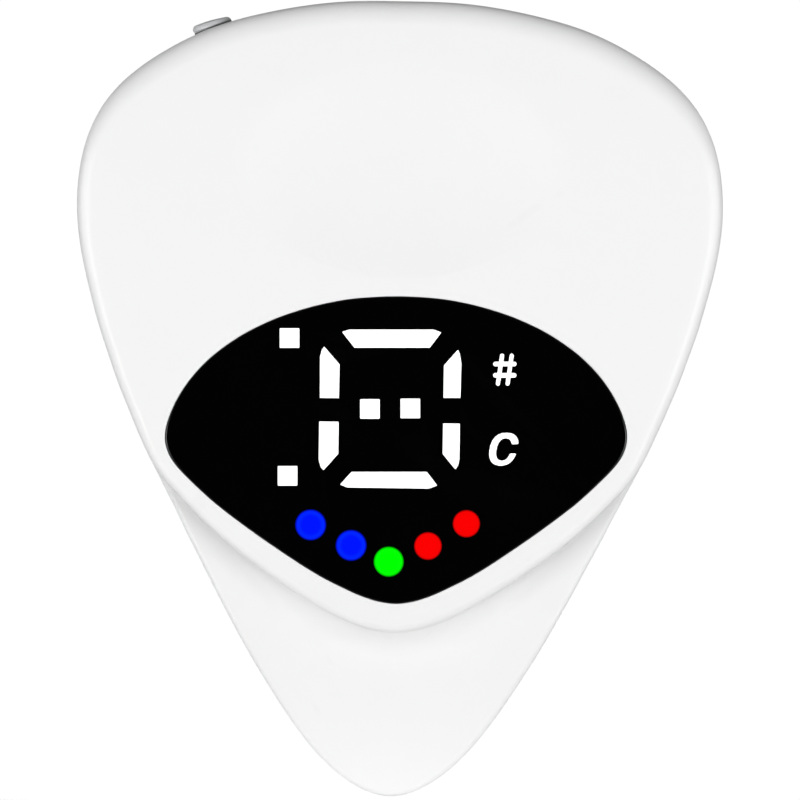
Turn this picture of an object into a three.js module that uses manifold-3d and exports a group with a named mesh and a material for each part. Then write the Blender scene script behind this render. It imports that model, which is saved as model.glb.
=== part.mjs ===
// Clip-on tuner: a pick-shaped front housing with a lit display, and a sprung rear lever
// that clips it on.
// Millimetres. X is the width, +Z is up with the narrow tip down, the display faces -Y and
// the lever is at +Y. Heights are measured from the tip; addMesh lowers every piece by
// PAD_Z, so the origin is the middle of the front pad's gripping face.
import * as THREE from 'three';
import Module from 'manifold-3d';

const wasm = await Module();
wasm.setup();

const RAD = Math.PI / 180;
const { lerp, smoothstep } = THREE.MathUtils;

// ---------------------------------------------------------------- driving dimensions
const PAD_Z = 8.0;       // middle of the front pad
const BODY_Z = 28.05;    // centre that the body outline is measured from
const WINDOW_Z = 21.57;  // centre that the window outline is measured from

// Outline radii every 5 degrees, from straight down to straight up; both sides are alike.
const BODY_RADII = [
  28.05, 27.35, 25.86, 24.08, 22.44, 21.05, 19.88, 18.93, 18.17, 17.61,
  17.17, 16.91, 16.78, 16.76, 16.80, 16.94, 17.19, 17.51, 17.97, 18.50,
  19.16, 19.91, 20.66, 21.34, 21.91, 22.27, 22.34, 22.15, 21.85, 21.53,
  21.18, 20.80, 20.48, 20.23, 20.03, 19.87, 19.80,
];
// Lower lip of the head; it is only read up to -10 degrees, so it stops at 0.
const LIP_RADII = [
  18.177, 18.022, 17.68, 17.293, 16.944, 16.677, 16.501, 16.407, 16.378, 16.4,
  16.471, 16.62, 16.911, 17.457, 18.3, 19.5, 21, 23, 25,
];
const WINDOW_RADII = [
  9.938, 9.879, 9.764, 9.631, 9.516, 9.465, 9.446, 9.466, 9.535, 9.665,
  9.867, 10.143, 10.503, 10.956, 11.507, 12.124, 12.845, 13.567, 13.87, 13.706,
  13.359, 12.943, 12.477, 11.986, 11.482, 11.017, 10.566, 10.167, 9.803, 9.494,
  9.233, 9.015, 8.841, 8.697, 8.586, 8.524, 8.506,
];

const CLEAR = 0.05;                          // gap between assembled pieces
const HEAD_Y = -9.8;                         // front face of the head
const STEP = { y: -8.0, z: 10.4 };           // front of the tip just below the head's lip
const TIP_Y = -6.2;                          // front of the tip at its very end
const SHELL_REAR_Y = -2.65;                  // rear rim of the front shell
const COVER_FRONT_Y = SHELL_REAR_Y + CLEAR;
const COVER_REAR_Y = -1.2;
const SIDE_WALL = 1.4;
const HEAD_WALL = 1.2;                       // front wall of the head
const TIP_WALL = 1.3;                        // front wall of the tip
const THROUGH = [-12, 0];                    // Y span of cutters that pass right through

const DISPLAY_TILT = 0.97;                   // degrees anticlockwise, seen from the front
const WINDOW_FRONT_Y = HEAD_Y + 0.06;
const WINDOW_REAR_Y = WINDOW_FRONT_Y + 0.95;
const MARK_FRONT_Y = WINDOW_FRONT_Y + 0.02;  // front of the lit marks
const LEDGE = 0.5;                           // shelf that carries the window
const GUIDE_Y = [WINDOW_REAR_Y + 0.08, WINDOW_REAR_Y + 0.9];
const BOARD_Y = [-6.2, -5.4];

const PAD = { thick: 1.6, sink: 0.4, inset: 2.2, low: 2.3, top: 14.0, corner: 1.2, edge: 0.3 };
const HINGE = { y: 5.2, z: 26.0, radius: 1.0, hole: 1.1, ear: 2.3 };
// x: span on the +X side; foot: half height where the ear leaves the arm at footY
const FRONT_EARS = { x: [4.2, 6.4], foot: 3.6, footY: COVER_REAR_Y - 0.5 };
const REAR_EARS = { x: [6.7, 8.7], foot: 3.2, footY: 9.4 };
const SCREWS = [[16.2, 37.0], [-16.2, 37.0], [12.35, 19.6], [-12.35, 19.6]];  // [x, z]
const LOWER_SCREWS = SCREWS.slice(2);
// elevation: degrees above horizontal on the -X side; lean: degrees its axis turns upright
const BUTTON = { elevation: 57.6, lean: 5, radius: 1.2, flange: 1.55, proud: 0.47, y: -6.9 };

// ---------------------------------------------------------------- materials
const paint = (name, settings) => new THREE.MeshStandardMaterial({ name, ...settings });
const whiteGloss = () => paint('white_gloss', { color: 0xf3f3f3, roughness: 0.18 });
const blackGloss = () => paint('black_gloss', { color: 0x050506, roughness: 0.06 });
const rubber = () => paint('rubber', { color: 0x2b2c2e, roughness: 0.85 });
const steel = () => paint('steel', { color: 0xb9bcc0, roughness: 0.3, metalness: 1 });
const frosted = () => paint('frosted_white', { color: 0xf6f7f6, roughness: 0.45 });
const baffleGrey = () => paint('baffle_grey', { color: 0xc9c9c6, roughness: 0.6 });
const boardGreen = () => paint('board_green', { color: 0x1e5b34, roughness: 0.5 });
const lampCream = () => paint('lamp', { color: 0xf4efd2, roughness: 0.4 });
const chipBlack = () => paint('chip', { color: 0x17181a, roughness: 0.55 });
const cellFoil = () => paint('cell_foil', { color: 0xb8bcc2, roughness: 0.35, metalness: 0.6 });
const foam = () => paint('foam', { color: 0x3b3d40, roughness: 0.9 });
const brass = () => paint('brass', { color: 0xb99a4e, roughness: 0.35, metalness: 0.9 });
const buttonGrey = () => paint('button_grey', { color: 0xd9dadb, roughness: 0.3 });
const PIPE_COLORS = { blue: 0x0410f8, green: 0x05f005, red: 0xf20606 };
const pipe = (tint) => paint(`pipe_${tint}`, { color: PIPE_COLORS[tint], roughness: 0.3 });
const LEAD_COLORS = { red: 0xb31312, black: 0x161616 };
const lead = (name, tint) => paint(name, { color: LEAD_COLORS[tint], roughness: 0.6 });

// ---------------------------------------------------------------- outlines
// An outline is the right half of a closed shape, from its lowest to its highest point:
// { x, z, normalX, normalZ } with the normals pointing outward.
const resolve = (value, point) => (typeof value === 'function' ? value(point) : value);

// Smooth radius between the tabulated ones; degrees run from -90 (down) to 90 (up).
function tableRadius(table, degrees) {
  const place = (degrees + 90) / 5;
  const last = table.length - 1;
  const index = Math.min(last - 1, Math.max(0, Math.floor(place)));
  const f = place - index;
  const at = (k) => table[k < 0 ? -k : k > last ? 2 * last - k : k];
  const [before, start, end, after] = [-1, 0, 1, 2].map((k) => at(index + k));
  const cubic = 3 * (start - end) + after - before;
  const square = 2 * before - 5 * start + 4 * end - after;
  return start + 0.5 * f * (end - before + f * (square + f * cubic));
}

function softMin(a, b, blend) {
  const overlap = Math.max(blend - Math.abs(a - b), 0) / blend;
  return Math.min(a, b) - overlap * overlap * blend / 4;
}

const bodyRadius = (degrees) => tableRadius(BODY_RADII, degrees);
const windowRadius = (degrees) => tableRadius(WINDOW_RADII, degrees);
function headRadius(degrees) {
  if (degrees > -10) return bodyRadius(degrees);
  return softMin(bodyRadius(degrees), tableRadius(LIP_RADII, degrees), 0.35);
}

function withNormals(points) {
  const last = points.length - 1;
  const mirrored = (point) => ({ x: -point.x, z: point.z });
  points.forEach((point, k) => {
    const before = k === 0 ? mirrored(points[1]) : points[k - 1];
    const after = k === last ? mirrored(points[last - 1]) : points[k + 1];
    const dx = after.x - before.x;
    const dz = after.z - before.z;
    const length = Math.hypot(dx, dz);
    point.normalX = dz / length;
    point.normalZ = -dx / length;
  });
  return points;
}

// Outline through [x, z] points, spaced evenly in count steps.
function resample(raw, count) {
  const distance = [0];
  for (let k = 1; k < raw.length; k++) {
    const step = Math.hypot(raw[k][0] - raw[k - 1][0], raw[k][1] - raw[k - 1][1]);
    distance.push(distance[k - 1] + step);
  }
  const points = [];
  let j = 0;
  for (let k = 0; k <= count; k++) {
    const target = distance[distance.length - 1] * k / count;
    while (j < distance.length - 2 && distance[j + 1] < target) j++;
    const f = (target - distance[j]) / (distance[j + 1] - distance[j]);
    points.push({
      x: raw[j][0] + f * (raw[j + 1][0] - raw[j][0]),
      z: raw[j][1] + f * (raw[j + 1][1] - raw[j][1]),
    });
  }
  points[0].x = 0;
  points[count].x = 0;
  return withNormals(points);
}

function polarOutline(radiusAt, centreZ, count) {
  const raw = [];
  for (let k = 0; k <= 720; k++) {
    const degrees = -90 + k / 4;
    const r = radiusAt(degrees);
    raw.push([r * Math.cos(degrees * RAD), centreZ + r * Math.sin(degrees * RAD)]);
  }
  return resample(raw, count);
}

// Outline moved inward by depth, a number or a function of the point.
function inset(outline, depth) {
  return withNormals(outline.map((point, k) => {
    const d = resolve(depth, point);
    const isEnd = k === 0 || k === outline.length - 1;
    return {
      x: isEnd ? 0 : Math.max(0, point.x - point.normalX * d),
      z: point.z - point.normalZ * d,
    };
  }));
}

// The head shares the body's sample angles, so their side walls are the same facets.
const BODY_ANGLES = polarOutline(bodyRadius, BODY_Z, 36)
  .map((point) => Math.atan2(point.z - BODY_Z, point.x) / RAD);
const atBodyAngles = (radiusAt) => withNormals(BODY_ANGLES.map((degrees, k) => {
  const r = radiusAt(degrees);
  const isEnd = k === 0 || k === BODY_ANGLES.length - 1;
  return {
    x: isEnd ? 0 : r * Math.cos(degrees * RAD),
    z: BODY_Z + r * Math.sin(degrees * RAD),
  };
}));
const BODY = atBodyAngles(bodyRadius);
const HEAD = atBodyAngles(headRadius);
const WINDOW = polarOutline(windowRadius, WINDOW_Z, 26);

// Pad: the lower end of the inset body, a rounded corner, then a flat top.
function padOutline() {
  const raw = inset(polarOutline(bodyRadius, BODY_Z, 160), PAD.inset)
    .filter((point) => point.z < PAD.top - PAD.corner)
    .map((point) => [point.x, point.z]);
  const [sideX, sideZ] = raw[raw.length - 1];
  for (let k = 1; k <= 8; k++) {
    const angle = k / 8 * Math.PI / 2;
    raw.push([
      sideX - PAD.corner * (1 - Math.cos(angle)),
      sideZ + PAD.corner * Math.sin(angle),
    ]);
  }
  const [topX, topZ] = raw[raw.length - 1];
  for (let k = 1; k <= 10; k++) raw.push([topX * (1 - k / 10), topZ]);
  return resample(raw, 20);
}
const PAD_OUTLINE = padOutline();

// ---------------------------------------------------------------- geometry builders
// Spans are [from, to] pairs.
const about = (centre, half) => [centre - half, centre + half];

// Turns all triangles over if the closed surface is inside out.
function orientOutward(positions, triangles) {
  const vertex = (k) => new THREE.Vector3().fromArray(positions, 3 * k);
  let volume = 0;
  for (let k = 0; k < triangles.length; k += 3) {
    const [a, b, c] = triangles.slice(k, k + 3).map(vertex);
    volume += a.dot(b.cross(c));
  }
  if (volume >= 0) return;
  for (let k = 0; k < triangles.length; k += 3) {
    [triangles[k], triangles[k + 1]] = [triangles[k + 1], triangles[k]];
  }
}

function indexed(positions, triangles) {
  orientOutward(positions, triangles);
  const geometry = new THREE.BufferGeometry();
  geometry.setAttribute('position', new THREE.Float32BufferAttribute(positions, 3));
  geometry.setIndex(triangles);
  return geometry;
}

// Closed solid through rings given as right halves [x, y, z]; the left half is the mirror
// image, and the ends are ruled across.
function symmetricLoft(rings) {
  const half = rings[0].length - 1;
  const full = 2 * half;
  const positions = [];
  const triangles = [];
  for (const ring of rings) {
    positions.push(...ring.flat());
    for (let k = half - 1; k >= 1; k--) positions.push(-ring[k][0], ring[k][1], ring[k][2]);
  }
  for (let j = 0; j + 1 < rings.length; j++) {
    for (let k = 0; k < full; k++) {
      const a = j * full + k;
      const b = j * full + (k + 1) % full;
      triangles.push(a, b, b + full, a, b + full, a + full);
    }
  }
  const cap = (base, flip) => {
    const put = (a, b, c) => {
      if (flip) triangles.push(base + a, base + c, base + b);
      else triangles.push(base + a, base + b, base + c);
    };
    put(0, full - 1, 1);
    for (let k = 1; k < half - 1; k++) {
      put(k, full - k, full - k - 1);
      put(k, full - k - 1, k + 1);
    }
    put(half - 1, half + 1, half);
  };
  cap(0, false);
  cap((rings.length - 1) * full, true);
  return indexed(positions, triangles);
}

// Slab with the given outline between two Y faces, its edges rounded by the given radii.
// Faces and radii may be functions of the outline point.
function slab(outline, front, rear, { frontEdge = 0, rearEdge = 0, steps = 4 } = {}) {
  const ring = (face, edge, angle, inward) =>
    inset(outline, (point) => resolve(edge, point) * (1 - Math.cos(angle))).map((point, k) => {
      const rise = resolve(edge, outline[k]) * (1 - Math.sin(angle));
      return [point.x, resolve(face, point) + inward * rise, point.z];
    });
  const angles = Array.from({ length: steps + 1 }, (_, k) => k / steps * Math.PI / 2);
  const rearAngles = rearEdge ? angles.slice().reverse() : [0];
  const frontAngles = frontEdge ? angles : [0];
  return symmetricLoft([
    ...rearAngles.map((angle) => ring(rear, rearEdge, angle, -1)),
    ...frontAngles.map((angle) => ring(front, frontEdge, angle, 1)),
  ]);
}

const toVectors = (polygon) => polygon.map(([u, v]) => new THREE.Vector2(u, v));
const isAnticlockwise = (polygon) => THREE.ShapeUtils.area(toVectors(polygon)) > 0;

// How a prism's polygon [u, v] and its depth land on X, Y and Z.
const ALONG_X = (u, depth, v) => [depth, u, v];
const ALONG_Y = (u, depth, v) => [u, depth, v];
const ALONG_Z = (u, depth, v) => [u, v, depth];

function prism(polygon, span, place = ALONG_Y) {
  const n = polygon.length;
  const positions = span.flatMap((depth) => polygon.flatMap(([u, v]) => place(u, depth, v)));
  const triangles = [];
  for (let k = 0; k < n; k++) {
    const next = (k + 1) % n;
    triangles.push(k, next, next + n, k, next + n, k + n);
  }
  const anticlockwise = isAnticlockwise(polygon);
  for (const [a, b, c] of THREE.ShapeUtils.triangulateShape(toVectors(polygon), [])) {
    if (anticlockwise) triangles.push(b, a, c, a + n, b + n, c + n);
    else triangles.push(a, b, c, b + n, a + n, c + n);
  }
  return indexed(positions, triangles);
}

function box(xs, ys, zs) {
  const spans = [xs, ys, zs];
  const geometry = new THREE.BoxGeometry(...spans.map(([from, to]) => to - from));
  geometry.translate(...spans.map(([from, to]) => (from + to) / 2));
  return geometry;
}

function roundedRect([u0, u1], [v0, v1], r, segments) {
  const corners = [
    [u1 - r, v1 - r, 0], [u0 + r, v1 - r, 90],
    [u0 + r, v0 + r, 180], [u1 - r, v0 + r, 270],
  ];
  return corners.flatMap(([u, v, start]) => Array.from({ length: segments + 1 }, (_, k) => {
    const angle = (start + 90 * k / segments) * RAD;
    return [u + r * Math.cos(angle), v + r * Math.sin(angle)];
  }));
}
// boxes with the four edges along Y, or along Z, rounded
const roundedBox = (xs, ys, zs, r, segments) => prism(roundedRect(xs, zs, r, segments), ys);
const roundedSlot = (xs, ys, zs, r) => prism(roundedRect(xs, ys, r, 4), zs, ALONG_Z);

function rodY(x, z, radius, [y0, y1], segments) {
  const geometry = new THREE.CylinderGeometry(radius, radius, y1 - y0, segments);
  geometry.translate(x, (y0 + y1) / 2, z);
  return geometry;
}

function hingeBore(halfLength) {
  const geometry = new THREE.CylinderGeometry(HINGE.hole, HINGE.hole, 2 * halfLength, 32);
  geometry.rotateZ(Math.PI / 2);
  geometry.translate(0, HINGE.y, HINGE.z);
  return geometry;
}

const lathe = (profile, segments) => new THREE.LatheGeometry(toVectors(profile), segments);

// Turned about the Y axis through x, z; the profile is [radius, y] from front to rear.
const turned = (x, z, profile, segments) => lathe(profile, segments).translate(x, 0, z);

// Round wire along points, turned by the least amount from one to the next.
function sweep(points, radius, segments) {
  const positions = [];
  const triangles = [];
  const last = points.length - 1;
  const tangents = points.map((_, k) => points[Math.min(last, k + 1)].clone()
    .sub(points[Math.max(0, k - 1)]).normalize());
  const across = Math.abs(tangents[0].x) < 0.8
    ? new THREE.Vector3(1, 0, 0) : new THREE.Vector3(0, 1, 0);
  across.sub(tangents[0].clone().multiplyScalar(across.dot(tangents[0]))).normalize();
  points.forEach((centre, k) => {
    if (k) {
      const turn = new THREE.Quaternion().setFromUnitVectors(tangents[k - 1], tangents[k]);
      across.applyQuaternion(turn);
    }
    const up = new THREE.Vector3().crossVectors(tangents[k], across);
    for (let q = 0; q < segments; q++) {
      const angle = 2 * Math.PI * q / segments;
      const vertex = centre.clone().addScaledVector(across, radius * Math.cos(angle))
        .addScaledVector(up, radius * Math.sin(angle));
      positions.push(...vertex.toArray());
    }
  });
  for (let k = 0; k < last; k++) {
    for (let q = 0; q < segments; q++) {
      const a = k * segments + q;
      const b = k * segments + (q + 1) % segments;
      triangles.push(a, b, b + segments, a, b + segments, a + segments);
    }
  }
  const end = last * segments;
  for (let q = 1; q + 1 < segments; q++) {
    triangles.push(0, q + 1, q);
    triangles.push(end, end + q, end + q + 1);
  }
  return indexed(positions, triangles);
}

// ---------------------------------------------------------------- solid operations
// Manifold solid of a geometry, its coincident vertices welded; solids pass unchanged.
function toSolid(shape) {
  if (!shape.isBufferGeometry) return shape;
  const source = shape.attributes.position.array;
  const welded = new Map();
  const positions = [];
  const remap = [];
  for (let k = 0; k < source.length; k += 3) {
    const point = [source[k], source[k + 1], source[k + 2]];
    const key = point.map((value) => Math.round(value * 1e4)).join(',');
    if (!welded.has(key)) {
      welded.set(key, positions.length / 3);
      positions.push(...point);
    }
    remap.push(welded.get(key));
  }
  const triangles = [];
  const index = shape.index.array;
  for (let k = 0; k < index.length; k += 3) {
    const [a, b, c] = [remap[index[k]], remap[index[k + 1]], remap[index[k + 2]]];
    if (a !== b && b !== c && a !== c) triangles.push(a, b, c);
  }
  orientOutward(positions, triangles);
  return new wasm.Manifold(new wasm.Mesh({
    numProp: 3,
    vertProperties: new Float32Array(positions),
    triVerts: new Uint32Array(triangles),
  }));
}

function toGeometry(solid) {
  const { vertProperties, triVerts } = solid.getMesh();
  const geometry = new THREE.BufferGeometry();
  geometry.setAttribute('position', new THREE.Float32BufferAttribute(vertProperties, 3));
  geometry.setIndex(Array.from(triVerts));
  return geometry;
}

const join = (...shapes) => shapes.map(toSolid).reduce((a, b) => a.add(b));
const cut = (base, ...tools) => tools.reduce((a, tool) => a.subtract(toSolid(tool)), toSolid(base));
const common = (a, b) => toSolid(a).intersect(toSolid(b));

// The display's own lean, given to a shape drawn upright.
const tilted = (shape) => toSolid(shape)
  .translate([0, 0, -WINDOW_Z]).rotate([0, -DISPLAY_TILT, 0]).translate([0, 0, WINDOW_Z]);

const screwRods = (radius, span, segments, screws = SCREWS) =>
  screws.map(([x, z]) => rodY(x, z, radius, span, segments));
// blocks from each screw toward the side wall, reaching inner back past its axis
const screwBlocks = (inner, outer, halfHeight) => SCREWS.map(([x, z]) =>
  box(x > 0 ? [x - inner, x + outer] : [x - outer, x + inner], THROUGH, about(z, halfHeight)));

const group = new THREE.Group();
function addMesh(name, shape, material) {
  const geometry = shape.isBufferGeometry ? shape : toGeometry(shape);
  geometry.translate(0, 0, -PAD_Z);
  geometry.deleteAttribute('uv');
  geometry.deleteAttribute('normal');
  geometry.computeVertexNormals();
  const mesh = new THREE.Mesh(geometry, material);
  mesh.name = name;
  group.add(mesh);
}

// ---------------------------------------------------------------- display marks
// Segment and note corners [x, z], drawn upright; tilted() leans them.
const SEGMENTS = [
  // top
  [[-3.28, 27.97], [-2.81, 28.12], [2.26, 28.12], [2.76, 27.94], [2.04, 26.99], [-2.51, 26.99]],
  // bottom
  [[-3.40, 18.78], [-2.95, 18.59], [1.98, 18.52], [2.51, 18.72], [1.86, 19.57], [-2.68, 19.57]],
  // upper left
  [[-4.32, 27.11], [-4.17, 26.94], [-3.37, 26.01], [-3.41, 23.96], [-4.60, 23.97],
    [-4.59, 26.47], [-4.48, 26.89]],
  // upper right
  [[3.74, 26.92], [3.86, 26.64], [3.95, 26.05], [3.89, 23.97], [2.83, 23.97],
    [2.86, 25.95], [3.61, 26.80]],
  // lower left
  [[-4.64, 22.60], [-3.43, 22.58], [-3.45, 20.63], [-4.35, 19.62], [-4.53, 19.79],
    [-4.67, 20.26]],
  // lower right
  [[2.81, 22.48], [3.86, 22.47], [3.83, 20.30], [3.76, 19.96], [3.59, 19.66],
    [3.48, 19.76], [2.78, 20.63]],
];
const NOTE = [
  [7.383, 21.248], [7.297, 21.608], [6.953, 21.883], [6.404, 21.900], [5.940, 21.660],
  [5.648, 21.145], [5.580, 20.518], [5.751, 20.089], [6.181, 19.900], [6.661, 19.960],
  [7.039, 20.252], [7.237, 20.621], [7.176, 20.673], [6.816, 20.630], [6.661, 20.372],
  [6.352, 20.235], [6.077, 20.389], [6.043, 20.801], [6.189, 21.282], [6.472, 21.531],
  [6.782, 21.505], [6.919, 21.299], [7.005, 21.179], [7.297, 21.196],
];
const SQUARES = [[-6.40, 27.59], [-6.52, 19.31], [-1.57, 23.33], [0.86, 23.36]];  // [x, z]
const SQUARE = { half: 0.61, corner: 0.08 };
// sharp sign: two leaning uprights at x -/+ dx and two level bars at z -/+ dz
const SHARP = {
  x: 6.54, z: 25.69, width: 1.42, height: 1.97, bar: 0.29, lean: 0.148, dx: 0.29, dz: 0.34,
};
const SHARP_BREAK = { y: HEAD_Y + 0.45, reach: 0.8, half: 0.14 };

// Row of round lights, [x, z, radius, colour] upright, then leaned with the display.
const DOTS = [
  [-5.13, 16.36, 0.93, 'blue'],
  [-2.70, 15.13, 0.93, 'blue'],
  [-0.44, 14.15, 0.90, 'green'],
  [1.92, 15.09, 0.83, 'red'],
  [4.23, 16.43, 0.82, 'red'],
].map(([x, z, radius, tint]) => {
  const cos = Math.cos(DISPLAY_TILT * RAD);
  const sin = Math.sin(DISPLAY_TILT * RAD);
  const rise = z - WINDOW_Z;
  return { x: x * cos - rise * sin, z: WINDOW_Z + x * sin + rise * cos, radius, tint };
});
const dotRods = (margin) =>
  DOTS.map(({ x, z, radius }) => rodY(x, z, radius + margin, THROUGH, 16));

// Polygon with every side moved outward by margin.
function grown(polygon, margin) {
  const count = polygon.length;
  const side = isAnticlockwise(polygon) ? 1 : -1;
  const normal = (from, to) => {
    const n = [(to[1] - from[1]) * side, -(to[0] - from[0]) * side];
    return n.map((value) => value / Math.hypot(...n));
  };
  return polygon.map((corner, k) => {
    const before = normal(polygon[(k + count - 1) % count], corner);
    const after = normal(corner, polygon[(k + 1) % count]);
    const mitre = [before[0] + after[0], before[1] + after[1]];
    const scale = margin / ((mitre[0] ** 2 + mitre[1] ** 2) / 2);
    return [corner[0] + mitre[0] * scale, corner[1] + mitre[1] * scale];
  });
}

function barPolygon(x0, z0, x1, z1, width) {
  const length = Math.hypot(x1 - x0, z1 - z0);
  const dx = -(z1 - z0) / length * width / 2;
  const dz = (x1 - x0) / length * width / 2;
  return [[x0 + dx, z0 + dz], [x1 + dx, z1 + dz], [x1 - dx, z1 - dz], [x0 - dx, z0 - dz]];
}

function sharpSign(span, margin) {
  const { x, z, dx, dz } = SHARP;
  const width = SHARP.bar + 2 * margin;
  const sway = SHARP.lean * SHARP.height / 2;
  const [low, high] = about(z, SHARP.height / 2 + margin);
  const [left, right] = about(x, SHARP.width / 2 + margin);
  const bars = [
    barPolygon(x - dx - sway, low, x - dx + sway, high, width),
    barPolygon(x + dx - sway, low, x + dx + sway, high, width),
    barPolygon(left, z - dz, right, z - dz, width),
    barPolygon(left, z + dz, right, z + dz, width),
  ].map((polygon) => prism(polygon, span));
  // behind its face the sign is broken once, so the window's centre square stays attached
  const bridge = box([x - SHARP_BREAK.reach, x], [SHARP_BREAK.y + margin * 0.5, 20],
    about(z, SHARP_BREAK.half - margin));
  return cut(join(...bars), bridge);
}

// Every mark as a solid over a Y span, grown by margin all round.
function marks(span, margin) {
  const half = SQUARE.half + margin;
  return [
    ...SEGMENTS.map((polygon) => prism(grown(polygon, margin), span)),
    ...SQUARES.map(([x, z]) =>
      roundedBox(about(x, half), span, about(z, half), SQUARE.corner + margin, 2)),
    sharpSign(span, margin),
    prism(grown(NOTE, margin), span),
  ].map(tilted);
}

// ---------------------------------------------------------------- power button's axis
// Vectors here are (x, z): foot is on the outline, outward is the way the button points.
const BUTTON_AXIS = (() => {
  const edge = (degrees) => {
    const r = bodyRadius(degrees);
    return new THREE.Vector2(-r * Math.cos(degrees * RAD), BODY_Z + r * Math.sin(degrees * RAD));
  };
  const [before, after] = about(BUTTON.elevation, 0.5).map(edge);
  const tangent = after.sub(before).normalize();
  const outward = new THREE.Vector2(-tangent.y, tangent.x)
    .rotateAround(new THREE.Vector2(0, 0), -BUTTON.lean * RAD);
  return { foot: edge(BUTTON.elevation), outward };
})();

// Turned about the button's axis; profile of [radius, distance outward from the outline].
function alongButton(profile) {
  const { foot, outward } = BUTTON_AXIS;
  const geometry = lathe(profile, 20);
  geometry.applyQuaternion(new THREE.Quaternion().setFromUnitVectors(
    new THREE.Vector3(0, 1, 0), new THREE.Vector3(outward.x, 0, outward.y)));
  geometry.translate(foot.x, BUTTON.y, foot.y);
  return geometry;
}

// ---------------------------------------------------------------- front shell
// One white moulding: the raised head over the wedge-shaped tip.
const DISH = { z: 37.6, halfWidth: 9.7, halfHeight: 6.4, depth: 0.34, overrun: 1.04, lid: 0.6 };

function tipFront({ z }) {
  if (z >= STEP.z) return STEP.y;
  return STEP.y + (TIP_Y - STEP.y) * Math.pow((STEP.z - Math.max(z, 0)) / STEP.z, 1.25);
}

// Head's front edge: sharpest where it faces down, roundest where it faces up.
function headEdge({ normalZ }) {
  if (normalZ < -0.35) return 0.5;
  const upper = lerp(0.85, 1.45, smoothstep(normalZ, 0.1, 0.95));
  return lerp(0.5, upper, smoothstep(normalZ, -0.9, -0.1));
}

// Shallow thumb dish: a bowl whose rim lies just in front of the head's face.
function thumbDish() {
  const sectors = 28;
  const rows = 5;
  const positions = [0, HEAD_Y + DISH.depth, DISH.z];
  for (let j = 1; j <= rows; j++) {
    const reach = DISH.overrun * j / rows;
    for (let k = 0; k < sectors; k++) {
      const angle = 2 * Math.PI * k / sectors;
      positions.push(
        DISH.halfWidth * reach * Math.cos(angle),
        HEAD_Y + DISH.depth * (1 - reach * reach),
        DISH.z + DISH.halfHeight * reach * Math.sin(angle));
    }
  }
  const lid = positions.length / 3;
  positions.push(0, HEAD_Y - DISH.lid, DISH.z);
  const at = (row, k) => 1 + row * sectors + k % sectors;
  const triangles = [];
  for (let k = 0; k < sectors; k++) {
    triangles.push(0, at(0, k), at(0, k + 1), lid, at(rows - 1, k + 1), at(rows - 1, k));
    for (let j = 0; j + 1 < rows; j++) {
      triangles.push(at(j, k), at(j + 1, k), at(j + 1, k + 1));
      triangles.push(at(j, k), at(j + 1, k + 1), at(j, k + 1));
    }
  }
  return indexed(positions, triangles);
}

function frontShell() {
  const outer = join(
    slab(HEAD, HEAD_Y, SHELL_REAR_Y, { frontEdge: headEdge }),
    slab(BODY, tipFront, SHELL_REAR_Y, { frontEdge: 0.55, steps: 3 }));
  const hollow = join(
    slab(inset(BODY, SIDE_WALL), (point) => tipFront(point) + TIP_WALL, SHELL_REAR_Y + 1),
    slab(inset(HEAD, SIDE_WALL), HEAD_Y + HEAD_WALL, SHELL_REAR_Y + 1,
      { frontEdge: 0.6, steps: 2 }));
  const windowFrame = common(
    tilted(slab(inset(WINDOW, -0.95), HEAD_Y + 0.9, WINDOW_REAR_Y + 0.85)),
    slab(inset(HEAD, 0.8), HEAD_Y + 0.5, SHELL_REAR_Y));
  const bosses = screwRods(1.65, [HEAD_Y + 1.0, SHELL_REAR_Y], 20)
    .map((rod) => common(rod, slab(inset(BODY, 0.7), HEAD_Y + 0.5, SHELL_REAR_Y)));
  const buttonHole = BUTTON.radius + 0.07;
  return cut(
    join(cut(outer, hollow), windowFrame, ...bosses),
    tilted(slab(inset(WINDOW, -CLEAR), HEAD_Y - 1, WINDOW_REAR_Y + CLEAR * 0.5)),
    tilted(slab(inset(WINDOW, LEDGE), HEAD_Y - 1, WINDOW_REAR_Y + 2)),
    thumbDish(),
    alongButton([[0, -2.5], [buttonHole, -2.5], [buttonHole, 2.5], [0, 2.5]]),
    roundedSlot([-4.72, 4.72], [-6.55, -3.05], [45.0, 49.5], 1.2),  // charging port
    ...screwRods(0.72, [-7.6, SHELL_REAR_Y + 1], 16));
}
addMesh('front_shell', frontShell(), whiteGloss());

// ---------------------------------------------------------------- back cover
// Pair of hinge ears: a foot on the arm and a round end about the hinge.
function ears({ x, foot, footY }) {
  const side = footY < HINGE.y ? 1 : -1;
  const profile = [[footY, HINGE.z - foot]];
  for (let k = 0; k <= 12; k++) {
    const angle = (-90 + 15 * k) * RAD;
    profile.push([
      HINGE.y + side * HINGE.ear * Math.cos(angle),
      HINGE.z + HINGE.ear * Math.sin(angle),
    ]);
  }
  profile.push([footY, HINGE.z + foot]);
  return [[-x[1], -x[0]], x].map((span) => prism(profile, span, ALONG_X));
}

// Rib round the inside that locates the cover in the shell.
function coverRib() {
  return cut(
    slab(inset(BODY, SIDE_WALL + 0.12), COVER_FRONT_Y - 0.8, COVER_FRONT_Y + 0.3),
    slab(inset(BODY, SIDE_WALL + 0.8), ...THROUGH),
    box([-6, 6], THROUGH, [44, 50]),           // gap at the charging socket
    box([-14.2, -6], THROUGH, [40.5, 50]),     // gap on the power button's side
    ...screwRods(1.85, THROUGH, 16),
    ...screwBlocks(0.1, 2.6, 1.9));
}

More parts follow.
